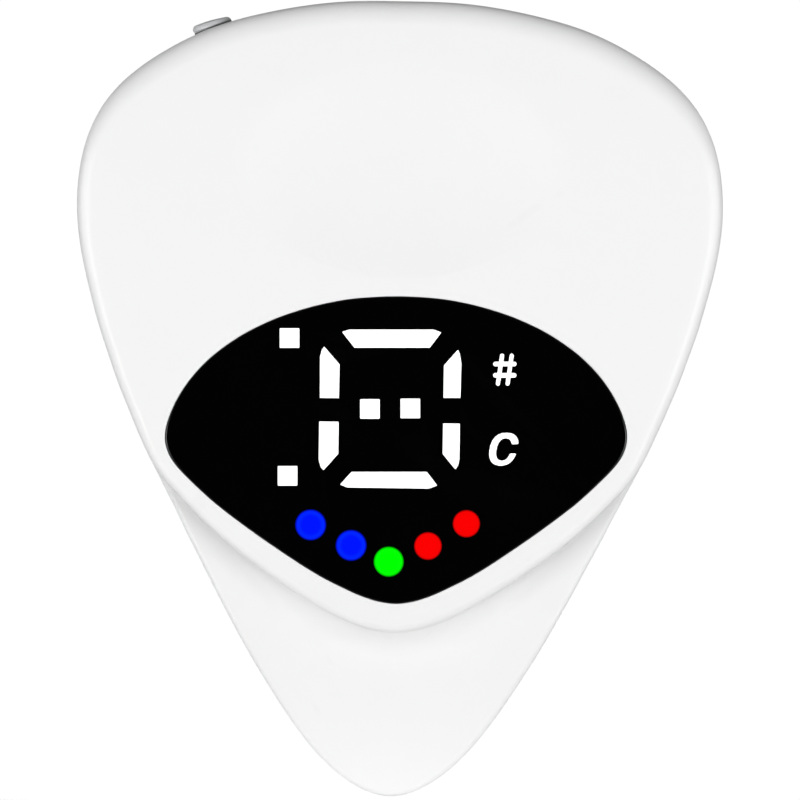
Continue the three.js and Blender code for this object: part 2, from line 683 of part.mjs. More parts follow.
function backCover() {
  const plate = slab(inset(BODY, 0.03), COVER_FRONT_Y, COVER_REAR_Y, { rearEdge: 0.55, steps: 3 });
  const drilled = cut(
    join(plate, ...ears(FRONT_EARS)),
    slab(inset(PAD_OUTLINE, -CLEAR), -PAD.thick - 0.02, 1),
    hingeBore(8),
    ...screwRods(0.95, THROUGH, 16),
    ...screwRods(1.6, [COVER_REAR_Y - 0.75, 0], 20));
  return join(drilled, coverRib());
}
addMesh('back_cover', backCover(), whiteGloss());

// ---------------------------------------------------------------- display
// Window: black moulding with openings that the light guide and pipes fill.
const displayWindow = () => cut(
  tilted(slab(WINDOW, WINDOW_FRONT_Y, WINDOW_REAR_Y, { frontEdge: 0.08, steps: 1 })),
  ...marks(THROUGH, 0.04),
  ...dotRods(0.04));
addMesh('display_window', displayWindow(), blackGloss());

// Light guide: plate behind the window whose raised marks come up almost flush.
const lightGuide = () => cut(
  join(
    tilted(slab(inset(WINDOW, LEDGE + 0.1), ...GUIDE_Y)),
    ...marks([MARK_FRONT_Y, GUIDE_Y[0] + 0.3], 0)),
  ...dotRods(0.06),
  ...screwRods(1.85, THROUGH, 16, LOWER_SCREWS));
addMesh('segment_light_guide', lightGuide(), frosted());

// Light pipe: a rod with a flange at its rear end.
function lightPipe({ x, z, radius }) {
  const flange = { radius: radius + 0.12, front: GUIDE_Y[1] + 0.06, rear: GUIDE_Y[1] + 0.4 };
  return turned(x, z, [
    [0, MARK_FRONT_Y],
    [radius, MARK_FRONT_Y],
    [radius, flange.front],
    [flange.radius, flange.front],
    [flange.radius, flange.rear],
    [0, flange.rear],
  ], 16);
}
DOTS.forEach((dot, k) => addMesh(`dot_light_pipe_${k + 1}`, lightPipe(dot), pipe(dot.tint)));

// Baffle: grey frame that keeps the lamps' light apart.
function lightBaffle() {
  const span = [GUIDE_Y[1] + 0.04, BOARD_Y[0] - 0.04];
  const plate = tilted(slab(inset(WINDOW, LEDGE + 0.12), ...span));
  const frame = cut(
    plate,
    tilted(roundedBox([-7.4, 7.6], THROUGH, [18.2, 27.9], 0.8, 3)),
    ...DOTS.map(({ x, z }) => rodY(x, z, 1.12, THROUGH, 12)),
    ...screwRods(1.9, THROUGH, 16, LOWER_SCREWS));
  const divider = common(tilted(box([-0.45, 0.45], span, [17.5, 29.5])), plate);
  return join(frame, divider);
}
addMesh('light_baffle', lightBaffle(), baffleGrey());

// ---------------------------------------------------------------- board and its parts
const mainBoard = () => cut(
  slab(inset(HEAD, 2.6), ...BOARD_Y),
  ...screwRods(1.95, THROUGH, 16),
  ...screwBlocks(0, 6, 1.95),
  box([-4.75, 4.75], THROUGH, [39.9, 50]));    // notch for the charging socket
addMesh('main_board', mainBoard(), boardGreen());

// lamps on the front of the board
const LAMP_Y = [BOARD_Y[0] - 0.45, BOARD_Y[0] - 0.02];
const DIGIT_LAMPS = [[-6.4, 23.4], [-2.4, 21.3], [2.4, 25.4], [6.6, 23.4]];  // [x, z]
DOTS.forEach(({ x, z }, k) => {
  addMesh(`dot_lamp_${k + 1}`, box(about(x, 0.5), LAMP_Y, about(z, 0.3)), lampCream());
});
DIGIT_LAMPS.forEach(([x, z], k) => {
  addMesh(`digit_lamp_${k + 1}`, box(about(x, 0.8), LAMP_Y, about(z, 0.4)), lampCream());
});

// chips and crystal on the rear of the board
const onBoardRear = (height) => [BOARD_Y[1] + 0.03, BOARD_Y[1] + height];
addMesh('tuner_chip', box([-3.2, 3.2], onBoardRear(0.95), [16.2, 22.6]), chipBlack());
addMesh('charger_chip', box([5.6, 8.2], onBoardRear(0.85), [18.6, 21.2]), chipBlack());
addMesh('crystal', roundedBox([-8.2, -5.6], onBoardRear(0.8), [18.4, 20.2], 0.4, 3), steel());

// Charging socket let into the board's top edge.
const SOCKET = { halfWidth: 4.47, y: [-6.4, -3.2], z: [40.1, 47.0] };
function chargeSocket() {
  const { halfWidth, y, z } = SOCKET;
  return cut(
    roundedSlot(about(0, halfWidth), y, z, 1.15),
    roundedSlot(about(0, halfWidth - 0.32), [y[0] + 0.3, y[1] - 0.3], [z[0] + 0.9, z[1] + 1], 0.9));
}
const socketTongue = () =>
  roundedBox([-3.3, 3.3], [-5.15, -4.45], [SOCKET.z[0] + 0.95, SOCKET.z[1] - 0.9], 0.3, 2);
addMesh('charge_socket', chargeSocket(), steel());
addMesh('charge_socket_tongue', socketTongue(), chipBlack());

// Side-acting switch behind the power button, drawn with +Z outward along its axis.
function powerSwitch() {
  const { foot, outward } = BUTTON_AXIS;
  const depth = 3.75;   // from the body outline in to the switch's middle
  const body = box([-1.75, 1.75], [-7.9, BOARD_Y[0] - 0.03], [-0.85, 0.85]);
  const plunger = box([-0.6, 0.6], [-7.4, -6.4], [0.8, 1.35]);
  return join(...[body, plunger].map((part) => part
    .rotateY(Math.atan2(outward.x, outward.y))
    .translate(foot.x - outward.x * depth, 0, foot.y - outward.y * depth)));
}
addMesh('power_switch', powerSwitch(), chipBlack());

// ---------------------------------------------------------------- battery and sensor
function leadWire(points) {
  const vectors = points.map((point) => new THREE.Vector3(...point));
  const curve = new THREE.CatmullRomCurve3(vectors, false, 'centripetal');
  return sweep(curve.getPoints(3 * (points.length - 1)), 0.25, 5);
}

// cell on foam tape
const batteryCell = () => roundedBox([-11, 11], [-5.25, -2.95], [26.0, 38.6], 0.8, 3);
addMesh('battery_cell', batteryCell(), cellFoil());
addMesh('battery_tape', box([-9, 9], [-5.38, -5.27], [28, 36.6]), foam());

const batteryLead = (x) => leadWire([
  [x, -4.2, 25.9], [x, -4.3, 24.9], [x + 0.2, -4.7, 24.0], [x + 0.5, -5.1, 23.2],
]);
for (const [tint, x] of [['red', -9.0], ['black', -7.4]]) {
  const name = `battery_lead_${tint}`;
  addMesh(name, batteryLead(x), lead(name, tint));
}

// Vibration sensor: a stepped disc in front of the cover, at the front pad.
const vibrationSensor = () => turned(0, 9.0, [
  [0, -3.1], [2.3, -3.1], [2.3, -2.92], [3.2, -2.92], [3.2, -2.72], [0, -2.72],
], 20);
addMesh('vibration_sensor', vibrationSensor(), brass());

const sensorLead = (side) => leadWire([
  [side * 0.5, -3.42, 9.6], [side * 0.9, -3.7, 11.5],
  [side * 1.2, -4.4, 13.4], [side * 1.2, -5.1, 15.0],
]);
for (const [tint, side] of [['red', 1], ['black', -1]]) {
  addMesh(`sensor_lead_${tint}`, sensorLead(side), lead(`lead_${tint}`, tint));
}

// ---------------------------------------------------------------- front pad and screws
const frontPad = () => slab(PAD_OUTLINE, -PAD.thick, 0, { rearEdge: PAD.edge, steps: 2 });
addMesh('front_pad', frontPad(), rubber());

// Cover screw: point to the front, head sunk in the cover.
const coverScrew = (x, z) => turned(x, z, [
  [0, -7.1], [0.3, -7.1], [0.66, -6.6],
  [0.66, COVER_REAR_Y - 0.7], [1.5, COVER_REAR_Y - 0.7],
  [1.5, COVER_REAR_Y - 0.2], [1.4, COVER_REAR_Y - 0.06], [0, COVER_REAR_Y - 0.06],
], 14);
SCREWS.forEach(([x, z], k) => addMesh(`cover_screw_${k + 1}`, coverScrew(x, z), steel()));

// ---------------------------------------------------------------- hinge
// Pin: head at -X, clip groove near the +X end; profile of [radius, x].
function hingePin() {
  const { radius } = HINGE;
  const profile = [
    [0, -9.75], [1.35, -9.75], [1.6, -9.5], [1.6, -8.85], [radius, -8.85],
    [radius, 8.88], [0.72, 8.88], [0.72, 9.42], [radius, 9.42],
    [radius, 9.7], [0.85, 9.85], [0, 9.85],
  ];
  return lathe(profile, 32).rotateZ(-Math.PI / 2).translate(0, HINGE.y, HINGE.z);
}
addMesh('hinge_pin', hingePin(), steel());

// Open ring in the groove at the pin's end.
function pinClip() {
  const steps = 16;
  const ringPoint = (radius, k) => {
    const angle = (-55 + 290 * k / steps) * RAD;
    return [HINGE.y + radius * Math.cos(angle), HINGE.z + radius * Math.sin(angle)];
  };
  const polygon = [];
  for (let k = 0; k <= steps; k++) polygon.push(ringPoint(1.75, k));
  for (let k = steps; k >= 0; k--) polygon.push(ringPoint(0.8, k));
  return toSolid(prism(polygon, [8.95, 9.35], ALONG_X));
}
addMesh('pin_clip', pinClip(), steel());

// ---------------------------------------------------------------- rear arm's inner face
const JAW = { gap: 2.6, tilt: 20 * RAD, thick: 2.2, inset: 1.2 };  // gap: between the pads' tips
const JAW_SLOPE = Math.tan(JAW.tilt);
const BEND = { startZ: 14.8, endZ: 25, endY: 8.75, startSlope: JAW_SLOPE * 0.35 };
const ARM_TOP = { y: 11.7, z: 45.2 };                // inner face at the lever's upper end
const HANDLE_SLOPE = (ARM_TOP.y - BEND.endY) / (ARM_TOP.z - BEND.endZ);

const jawInner = (z) =>
  JAW.gap + (z - PAD.low) * JAW_SLOPE + (PAD.thick - PAD.sink) / Math.cos(JAW.tilt);

// Y of the inner face at height z: straight jaw, smooth bend, straight handle.
function armInner(z) {
  if (z <= BEND.startZ) return jawInner(z);
  if (z >= BEND.endZ) return BEND.endY + (z - BEND.endZ) * HANDLE_SLOPE;
  const height = BEND.endZ - BEND.startZ;
  const t = (z - BEND.startZ) / height;
  const t2 = t * t;
  const t3 = t2 * t;
  return (2 * t3 - 3 * t2 + 1) * jawInner(BEND.startZ)
    + (t3 - 2 * t2 + t) * height * BEND.startSlope
    + (-2 * t3 + 3 * t2) * BEND.endY
    + (t3 - t2) * height * HANDLE_SLOPE;
}

// ---------------------------------------------------------------- torsion spring
const SPRING = { radius: 2.42, wire: 0.35, turns: 5, halfLength: 2.9, legRise: 10 };

// Coil about the pin; the -X leg lies on the cover and the +X leg on the lever.
function torsionSpring() {
  const { radius, turns, halfLength, legRise } = SPRING;
  const startAngle = 200;
  const sweepAngle = (turns - 1) * 360 + 195;
  const steps = 12 * turns;
  const coil = [];
  for (let k = 0; k <= steps; k++) {
    const angle = (startAngle - sweepAngle * k / steps) * RAD;
    coil.push(new THREE.Vector3(
      -halfLength + 2 * halfLength * k / steps,
      HINGE.y + radius * Math.cos(angle),
      HINGE.z + radius * Math.sin(angle)));
  }
  const coverLeg = [
    [COVER_REAR_Y + 0.45, HINGE.z + legRise],
    [COVER_REAR_Y + 0.45, HINGE.z + 6.5],
    [COVER_REAR_Y + 0.9, HINGE.z + 4.2],
    [coil[0].y - 1.3, coil[0].z + 2.4],
  ].map(([y, z]) => new THREE.Vector3(-halfLength, y, z));
  const legTop = HINGE.z + legRise;
  const leverEnd = new THREE.Vector3(halfLength, armInner(legTop) - 0.5, legTop);
  return sweep([...coverLeg, ...coil, leverEnd], SPRING.wire, 6);
}
addMesh('torsion_spring', torsionSpring(), steel());

// ---------------------------------------------------------------- rear arm and pad
// Body outline, inset, narrowed toward the top and shortened above SHORTEN_Z.
const SHORTEN_Z = 30;
function armOutline() {
  const base = inset(polarOutline(bodyRadius, BODY_Z, 200), JAW.inset);
  const squeeze = (ARM_TOP.z - SHORTEN_Z) / (base[base.length - 1].z - SHORTEN_Z);
  return resample(base.map(({ x, z }) => [
    x * (1 - 0.24 * smoothstep(z, 17, 36)),
    z > SHORTEN_Z ? SHORTEN_Z + (z - SHORTEN_Z) * squeeze : z,
  ]), 32);
}

// Level grip ribs on the handle's rear face, shorter toward the top.
const GRIP = { count: 4, z: 35.4, pitch: 2.1, radius: 0.55, length: 13, shorten: 1.6, sink: 0.25 };
function gripRib(k) {
  const z = GRIP.z + GRIP.pitch * k;
  return new THREE.CapsuleGeometry(GRIP.radius, GRIP.length - GRIP.shorten * k, 2, 8)
    .rotateZ(Math.PI / 2)
    .translate(0, armInner(z) + JAW.thick - GRIP.sink, z);
}

// Slab with the pad's outline, set in the jaw's own slope.
const onJaw = (grow, front, rear, edges) => slab(inset(PAD_OUTLINE, -grow), front, rear, edges)
  .translate(0, 0, -PAD.low)
  .rotateX(-JAW.tilt)
  .translate(0, JAW.gap, PAD.low);

function rearArm() {
  const lever = slab(armOutline(), ({ z }) => armInner(z), ({ z }) => armInner(z) + JAW.thick,
    { frontEdge: 0.35, rearEdge: 0.9, steps: 3 });
  const ribs = Array.from({ length: GRIP.count }, (_, k) => gripRib(k));
  return cut(
    join(lever, ...ears(REAR_EARS), ...ribs),
    onJaw(CLEAR, -1, PAD.thick + 0.02),
    hingeBore(10));
}
addMesh('rear_arm', rearArm(), whiteGloss());
addMesh('rear_pad', onJaw(0, 0, PAD.thick, { frontEdge: PAD.edge, steps: 2 }), rubber());

// ---------------------------------------------------------------- power button
// Flange inside the shell, stem through its hole, domed cap.
const powerButton = () => alongButton([
  [0, -1.98], [BUTTON.flange, -1.98], [BUTTON.flange, -1.66], [BUTTON.radius, -1.66],
  [BUTTON.radius, 0.14], [1.16, 0.28], [1.04, 0.38], [0.8, 0.43], [0.4, 0.46],
  [0, BUTTON.proud],
]);
addMesh('power_button', powerButton(), buttonGrey());

export default group;
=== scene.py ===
"""Looks of a clip-on tuner: visible pieces, procedural materials, floor, light and camera.

The tuner stands on its tip. Seen from the front, +X is right; the display faces -Y and
the hinged rear arm is at +Y. Lengths are millimetres and heights are above the tip, unless
a comment says otherwise; to_frame() turns them into metres in the shared frame.
"""
import math

import bmesh
import bpy
import numpy as np
from mathutils import Matrix, Quaternion, Vector


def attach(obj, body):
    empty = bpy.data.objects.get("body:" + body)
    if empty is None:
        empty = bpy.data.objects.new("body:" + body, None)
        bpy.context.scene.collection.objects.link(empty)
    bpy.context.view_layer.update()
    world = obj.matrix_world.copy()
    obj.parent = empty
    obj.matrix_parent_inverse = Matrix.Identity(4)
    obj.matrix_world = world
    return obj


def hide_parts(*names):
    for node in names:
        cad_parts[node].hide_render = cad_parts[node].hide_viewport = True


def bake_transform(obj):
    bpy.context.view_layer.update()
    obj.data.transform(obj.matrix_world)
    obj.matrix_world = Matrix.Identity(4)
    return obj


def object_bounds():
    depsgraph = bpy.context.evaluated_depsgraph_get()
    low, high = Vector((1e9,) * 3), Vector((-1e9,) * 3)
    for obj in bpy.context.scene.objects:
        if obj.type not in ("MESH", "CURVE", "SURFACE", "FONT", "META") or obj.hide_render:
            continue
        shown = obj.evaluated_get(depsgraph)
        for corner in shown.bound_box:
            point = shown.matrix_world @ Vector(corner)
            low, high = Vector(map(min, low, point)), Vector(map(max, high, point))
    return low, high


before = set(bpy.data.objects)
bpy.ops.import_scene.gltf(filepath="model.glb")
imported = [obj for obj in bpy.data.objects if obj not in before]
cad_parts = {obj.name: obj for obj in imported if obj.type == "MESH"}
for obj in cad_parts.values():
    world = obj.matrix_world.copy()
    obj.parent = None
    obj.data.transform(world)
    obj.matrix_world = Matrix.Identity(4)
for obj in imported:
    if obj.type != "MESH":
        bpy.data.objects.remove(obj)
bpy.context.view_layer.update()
FRAME_Z = 8.0                         # height of the shared frame's origin

# ---------------------------------------------------------------- dimensions, as in the CAD
# Outlines are radii about a centre at x = 0, every 5 degrees from straight down to straight up.
BODY_Z, WINDOW_Z = 28.05, 21.57       # heights of the centres of the body's and window's outlines
BODY_RADII = [
    28.05, 27.35, 25.86, 24.08, 22.44, 21.05, 19.88, 18.93, 18.17, 17.61, 17.17, 16.91, 16.78,
    16.76, 16.80, 16.94, 17.19, 17.51, 17.97, 18.50, 19.16, 19.91, 20.66, 21.34, 21.91, 22.27,
    22.34, 22.15, 21.85, 21.53, 21.18, 20.80, 20.48, 20.23, 20.03, 19.87, 19.80]
LIP_RADII = [
    18.177, 18.022, 17.68, 17.293, 16.944, 16.677, 16.501, 16.407, 16.378, 16.4, 16.471, 16.62,
    16.911, 17.457, 18.3, 19.5, 21, 23, 25, 27, 29, 31, 33, 34, 35,
    36, 36, 36, 36, 36, 36, 36, 36, 36, 36, 36, 36]
WINDOW_RADII = [
    9.938, 9.879, 9.764, 9.631, 9.516, 9.465, 9.446, 9.466, 9.535, 9.665, 9.867, 10.143, 10.503,
    10.956, 11.507, 12.124, 12.845, 13.567, 13.87, 13.706, 13.359, 12.943, 12.477, 11.986,
    11.482, 11.017, 10.566, 10.167, 9.803, 9.494, 9.233, 9.015, 8.841, 8.697, 8.586, 8.524,
    8.506]
HEAD_Y, STEP_Y, TIP_Y = -9.8, -8.0, -6.2      # front of the head, of the step below it, of the tip
TIP_SLOPE_Z = 10.4                            # the tip's front starts to slope back below this
PARTING_Y, COVER_Y, BACK_Y = -2.65, -2.60, -1.2
WALL, FRONT_WALL, TIP_WALL = 1.4, 1.2, 1.3
WINDOW_THICK, WINDOW_RECESS, WINDOW_LEDGE = 0.95, 0.06, 0.5
FACE_Y = HEAD_Y + WINDOW_RECESS
WINDOW_BACK_Y = FACE_Y + WINDOW_THICK
DISH_Z, DISH_HALF_WIDTH, DISH_HALF_HEIGHT, DISH_DEPTH = 37.6, 9.7, 6.4, 0.34
PAD_THICK, PAD_INSET, PAD_LOW, PAD_TOP = 1.6, 2.2, 2.3, 14.0
PAD_CORNER, PAD_CLEAR = 1.2, 0.05
HINGE_Y, HINGE_Z, EAR_RADIUS = 5.2, 26.0, 2.3
JAW_GAP, JAW_TILT, JAW_THICK, JAW_INSET = 2.6, math.radians(20), 2.2, 1.2
PAD_SINK = 0.4
ARM_TOP, ARM_TOP_Y, JAW_TOP = 45.2, 11.7, 14.8
ARM_BEND_Z, ARM_BEND_Y = 25.0, 8.75           # the arm's inner face is straight above this
SCREWS = [(16.2, 37.0), (-16.2, 37.0), (12.35, 19.6), (-12.35, 19.6)]      # x, z
SCREW_TURNS = (20, 65, 40, 10)                # degrees each cross recess is turned
DISPLAY_TILT = math.radians(0.97)             # anticlockwise lean of the window and its marks
BUTTON_DEG, BUTTON_TILT, BUTTON_Y = 122.4, math.radians(5), -6.9
BUTTON_RADIUS, BUTTON_FLANGE = 1.2, 1.55
SOCKET_Y = -4.8                               # middle of the charging socket

PARTING_EDGE = 0.12                   # rounding of the shell where it meets the cover
TIP_EDGE = 0.28                       # rounding of the tip's front edge
FOOT_WIDTH = (1.7, 0.2)   # how far the tip's surface sweeps up to the lip, middle and sides
FOOT_HEIGHT = (0.85, 0.04)  # and how high


# ---------------------------------------------------------------- outlines
# A half outline is an array of [x, z] from the bottom of the centre line to its top.
def closed_spline(radii):
    """Smooth closed curve of radius against degrees, the table mirrored to the left half."""
    around = np.array(list(radii) + list(radii[-2:0:-1]), float)
    n = len(around)
    system = np.zeros((n, n))
    for i in range(n):
        system[i, i], system[i, (i + 1) % n], system[i, (i - 1) % n] = 4, 1, 1
    bend = np.linalg.solve(system, 6 * (np.roll(around, -1) - 2 * around + np.roll(around, 1)))

    def radius_at(degrees):
        u = (np.asarray(degrees, float) + 90) / 5
        i = np.floor(u).astype(int)
        t = u - i
        i0, i1 = i % n, (i + 1) % n
        return ((1 - t) * around[i0] + t * around[i1]
                + ((1 - t) ** 3 - (1 - t)) * bend[i0] / 6 + (t ** 3 - t) * bend[i1] / 6)
    return radius_at


def catmull_rom(a, b, c, d, t):
    return b + 0.5 * t * ((c - a) + t * ((2 * a - 5 * b + 4 * c - d) + t * (3 * (b - c) + d - a)))


def local_spline(radii):
    """The same for a table with a steep end: each piece depends on its four neighbours only."""
    table = np.array(radii, float)
    last = len(table) - 1

    def entry(k):
        return table[np.where(k < 0, -k, np.where(k > last, 2 * last - k, k))]

    def radius_at(degrees):
        u = (np.asarray(degrees, float) + 90) / 5
        i = np.clip(np.floor(u).astype(int), 0, last - 1)
        return catmull_rom(entry(i - 1), entry(i), entry(i + 1), entry(i + 2), u - i)
    return radius_at


body_radius = closed_spline(BODY_RADII)
lip_radius = local_spline(LIP_RADII)
window_radius = closed_spline(WINDOW_RADII)


def head_radius(degrees):
    """The body's outline, cut off below by the lip with a softened corner."""
    body, lip, soft = body_radius(degrees), lip_radius(degrees), 0.35
    near = np.maximum(soft - np.abs(body - lip), 0) / soft
    return np.where(np.asarray(degrees) > -10, body,
                    np.minimum(body, lip) - near * near * soft / 4)


def resample(points, count):
    """Evenly spaced points along a half outline, both ends on the centre line."""
    points = np.asarray(points, float)
    length = np.r_[0, np.cumsum(np.hypot(*np.diff(points, axis=0).T))]
    t = np.linspace(0, length[-1], count + 1)
    out = np.c_[np.interp(t, length, points[:, 0]), np.interp(t, length, points[:, 1])]
    out[0, 0] = out[-1, 0] = 0
    return out


def polar(radius_at, degrees, centre_z):
    r, a = radius_at(degrees), np.radians(degrees)
    out = np.c_[r * np.cos(a), centre_z + r * np.sin(a)]
    out[0, 0] = out[-1, 0] = 0
    return out


def half_outline(radius_at, centre_z, count):
    return resample(polar(radius_at, np.linspace(-90, 90, 1441), centre_z), count)


def normals(outline):
    before = np.vstack([[-outline[1, 0], outline[1, 1]], outline[:-1]])
    after = np.vstack([outline[1:], [-outline[-2, 0], outline[-2, 1]]])
    t = after - before
    t /= np.linalg.norm(t, axis=1)[:, None]
    return np.c_[t[:, 1], -t[:, 0]]


def inset(outline, distance):
    """Half outline moved inward by one distance, or by a distance for each point."""
    if isinstance(distance, np.ndarray):
        distance = distance[:, None]
    out = outline - normals(outline) * distance
    out[:, 0] = np.maximum(out[:, 0], 0)
    out[0, 0] = out[-1, 0] = 0
    return out


def smoothstep(x, start, end):
    t = np.clip((np.asarray(x, float) - start) / (end - start), 0, 1)
    return t * t * (3 - 2 * t)


# The head is sampled at the same angles as the body, so their points match.
even_body = half_outline(body_radius, BODY_Z, 200)
BODY_DEGREES = np.degrees(np.arctan2(even_body[:, 1] - BODY_Z, even_body[:, 0]))
BODY = polar(body_radius, BODY_DEGREES, BODY_Z)
HEAD = polar(head_radius, BODY_DEGREES, BODY_Z)
WINDOW = half_outline(window_radius, WINDOW_Z, 150)


def tip_front(z):
    """Y of the front surface below the head."""
    t = np.clip((TIP_SLOPE_Z - np.maximum(np.asarray(z, float), 0)) / TIP_SLOPE_Z, 0, 1)
    return STEP_Y + (TIP_Y - STEP_Y) * t ** 1.25


def front_edge_radius(outline):
    """Rounding of the head's front edge: small underneath, larger at the sides, most on top."""
    up = normals(outline)[:, 1]
    upper = 0.85 + 0.6 * smoothstep(up, 0.1, 0.95)
    return 0.5 + (upper - 0.5) * smoothstep(up, -0.62, 0.05)


# ---------------------------------------------------------------- meshes
def to_frame(x, y, z):
    return x * 0.001, y * 0.001, (z - FRAME_Z) * 0.001


def make(name, verts, faces):
    mesh = bpy.data.meshes.new(name)
    points = [to_frame(*p) for p in np.asarray(verts, float)]
    mesh.from_pydata(points, [], [tuple(int(i) for i in face) for face in faces])
    mesh.validate(verbose=False)
    o = bpy.data.objects.new(name, mesh)
    bpy.context.scene.collection.objects.link(o)
    bm = bmesh.new()
    bm.from_mesh(mesh)
    bmesh.ops.remove_doubles(bm, verts=bm.verts, dist=1e-8)
    bmesh.ops.recalc_face_normals(bm, faces=bm.faces)
    if bm.calc_volume(signed=True) < 0:
        bmesh.ops.reverse_faces(bm, faces=bm.faces)
    bm.to_mesh(mesh)
    bm.free()
    return o


def loft(name, rings, start=None, end=None):
    """Closed solid through loops of the same length; an end is flat or runs to a given point."""
    m = len(rings[0])
    verts = np.vstack(rings)
    faces = []
    for q in range(len(rings) - 1):
        for k in range(m):
            a, b = q * m + k, q * m + (k + 1) % m
            faces.append((a, b, b + m, a + m))
    for point, first, flip in ((start, 0, True), (end, (len(rings) - 1) * m, False)):
        if point is None:
            loop = list(range(first, first + m))
            faces.append(tuple(loop[::-1] if flip else loop))
            continue
        verts = np.vstack([verts, [point]])
        c = len(verts) - 1
        for k in range(m):
            a, b = first + k, first + (k + 1) % m
            faces.append((b, a, c) if flip else (a, b, c))
    return make(name, verts, faces)


def ring(outline, y):
    """Whole closed loop from a half outline, at one Y or at a Y for each point."""
    left = outline[-2:0:-1].copy()
    left[:, 0] *= -1
    loop = np.vstack([outline, left])
    ys = np.full(len(loop), float(y)) if np.isscalar(y) else np.r_[y, y[-2:0:-1]]
    return np.c_[loop[:, 0], ys, loop[:, 1]]


def edge_steps(outline, radius, count):
    """Quarter round from side wall to face: inset outlines, each with its distance to the face."""
    return [(inset(outline, radius * (1 - math.cos(a))), radius * (1 - math.sin(a)))
            for a in np.linspace(0, math.pi / 2, count)]


def face_rings(edge, centre, scales, surface):
    """Copies of an edge loop shrunk towards a centre and laid on y = surface(x, z)."""
    out = []
    for scale in scales:
        loop = centre + (edge - centre) * scale
        loop[:, 1] = surface(loop[:, 0], loop[:, 2])
        out.append(loop)
    return out


def plain_slab(name, outline, front, back):
    return loft(name, [ring(outline, back), ring(outline, front)])


def round_slab(name, outline, front, back, front_round=0.0, back_round=0.0, steps=6):
    """Slab over an outline with either or both of its edges rounded."""
    rings = [ring(outline, back)]
    if back_round:
        rings = [ring(q, back - gap) for q, gap in edge_steps(outline, back_round, steps + 1)]
        rings.reverse()
    if front_round:
        rings += [ring(q, front + gap) for q, gap in edge_steps(outline, front_round, steps + 1)]
    else:
        rings.append(ring(outline, front))
    return loft(name, rings)


def prism(name, polygon, start, end, along="y"):
    """Prism along an axis over a polygon in the other two, given in XYZ order."""
    polygon = np.asarray(polygon, float)
    n = len(polygon)
    column = "xyz".index(along)
    verts = np.vstack([np.insert(polygon, column, place, axis=1) for place in (start, end)])
    faces = [(k, (k + 1) % n, (k + 1) % n + n, k + n) for k in range(n)]
    faces += [tuple(range(n))[::-1], tuple(range(n, 2 * n))]
    return make(name, verts, faces)


def turned(name, profile, origin, axis, seg=64):
    """Solid of revolution; profile of [radius, distance along axis], both ends on the axis."""
    turn = Vector((0, 0, 1)).rotation_difference(Vector(axis).normalized())

    def place(x, y, z):
        return list(turn @ Vector((x, y, z)) + Vector(origin))
    angles = np.linspace(0, 2 * math.pi, seg, endpoint=False)
    rings = [np.array([place(r * math.cos(a), r * math.sin(a), t) for a in angles])
             for r, t in profile if r > 1e-9]
    return loft(name, rings, place(0, 0, profile[0][1]), place(0, 0, profile[-1][1]))


def rod(name, radius, start, end, origin, axis, seg):
    profile = [(0, start), (radius, start), (radius, end), (0, end)]
    return turned(name, profile, origin, axis, seg)


def rod_y(name, x, z, radius, start, end, seg):
    return rod(name, radius, start, end, (x, 0, z), (0, 1, 0), seg)


def hinge_bore(radius, half_length):
    return rod("bore", radius, -half_length, half_length, (0, HINGE_Y, HINGE_Z), (1, 0, 0), 72)


def sweep(name, points, radius, seg):
    """Round wire along a path, with low pointed ends."""
    n = len(points)
    tangents = [(points[min(n - 1, k + 1)] - points[max(0, k - 1)]).normalized()
                for k in range(n)]
    u = Vector((1, 0, 0)) if abs(tangents[0].x) < 0.8 else Vector((0, 1, 0))
    u = (u - tangents[0] * u.dot(tangents[0])).normalized()
    angles = np.linspace(0, 2 * math.pi, seg, endpoint=False)
    rings = []
    for k in range(n):
        if k:
            u = tangents[k - 1].rotation_difference(tangents[k]) @ u
        w = tangents[k].cross(u)
        rings.append(np.array([
            list(points[k] + u * (radius * math.cos(a)) + w * (radius * math.sin(a)))
            for a in angles]))
    start = list(points[0] - tangents[0] * radius * 0.35)
    end = list(points[-1] + tangents[-1] * radius * 0.35)
    return loft(name, rings, start, end)


def smooth_path(points, steps=8):
    points = [Vector(p) for p in points]
    ext = [points[0] * 2 - points[1]] + points + [points[-1] * 2 - points[-2]]
    out = []
    for i in range(1, len(ext) - 2):
        out += [catmull_rom_vector(*ext[i - 1:i + 3], k / steps) for k in range(steps)]
    return out + [points[-1]]


def catmull_rom_vector(a, b, c, d, t):
    """catmull_rom() with the factors after the vectors' sums, as Vector wants."""
    cubic = (3 * (b - c) + d - a) * t
    return b + ((c - a) + (2 * a - 5 * b + 4 * c - d + cubic) * t) * (0.5 * t)


def combine(target, tool, operation):
    """Boolean of two objects; the tool is used up."""
    modifier = target.modifiers.new("cut", "BOOLEAN")
    modifier.operation, modifier.object = operation, tool
    modifier.solver = "MANIFOLD"
    depsgraph = bpy.context.evaluated_depsgraph_get()
    depsgraph.update()
    mesh = bpy.data.meshes.new_from_object(target.evaluated_get(depsgraph))
    if len(mesh.polygons) == 0:
        # the fast solver gives nothing when an input isn't watertight
        modifier.solver = "EXACT"
        depsgraph.update()
        mesh = bpy.data.meshes.new_from_object(target.evaluated_get(depsgraph))
    target.modifiers.remove(modifier)
    old_mesh, tool_mesh = target.data, tool.data
    target.data = mesh
    bpy.data.meshes.remove(old_mesh)
    bpy.data.objects.remove(tool)
    bpy.data.meshes.remove(tool_mesh)


def cut(target, *tools):
    for tool in tools:
        combine(target, tool, "DIFFERENCE")


def join(target, *tools):
    for tool in tools:
        combine(target, tool, "UNION")
    return target


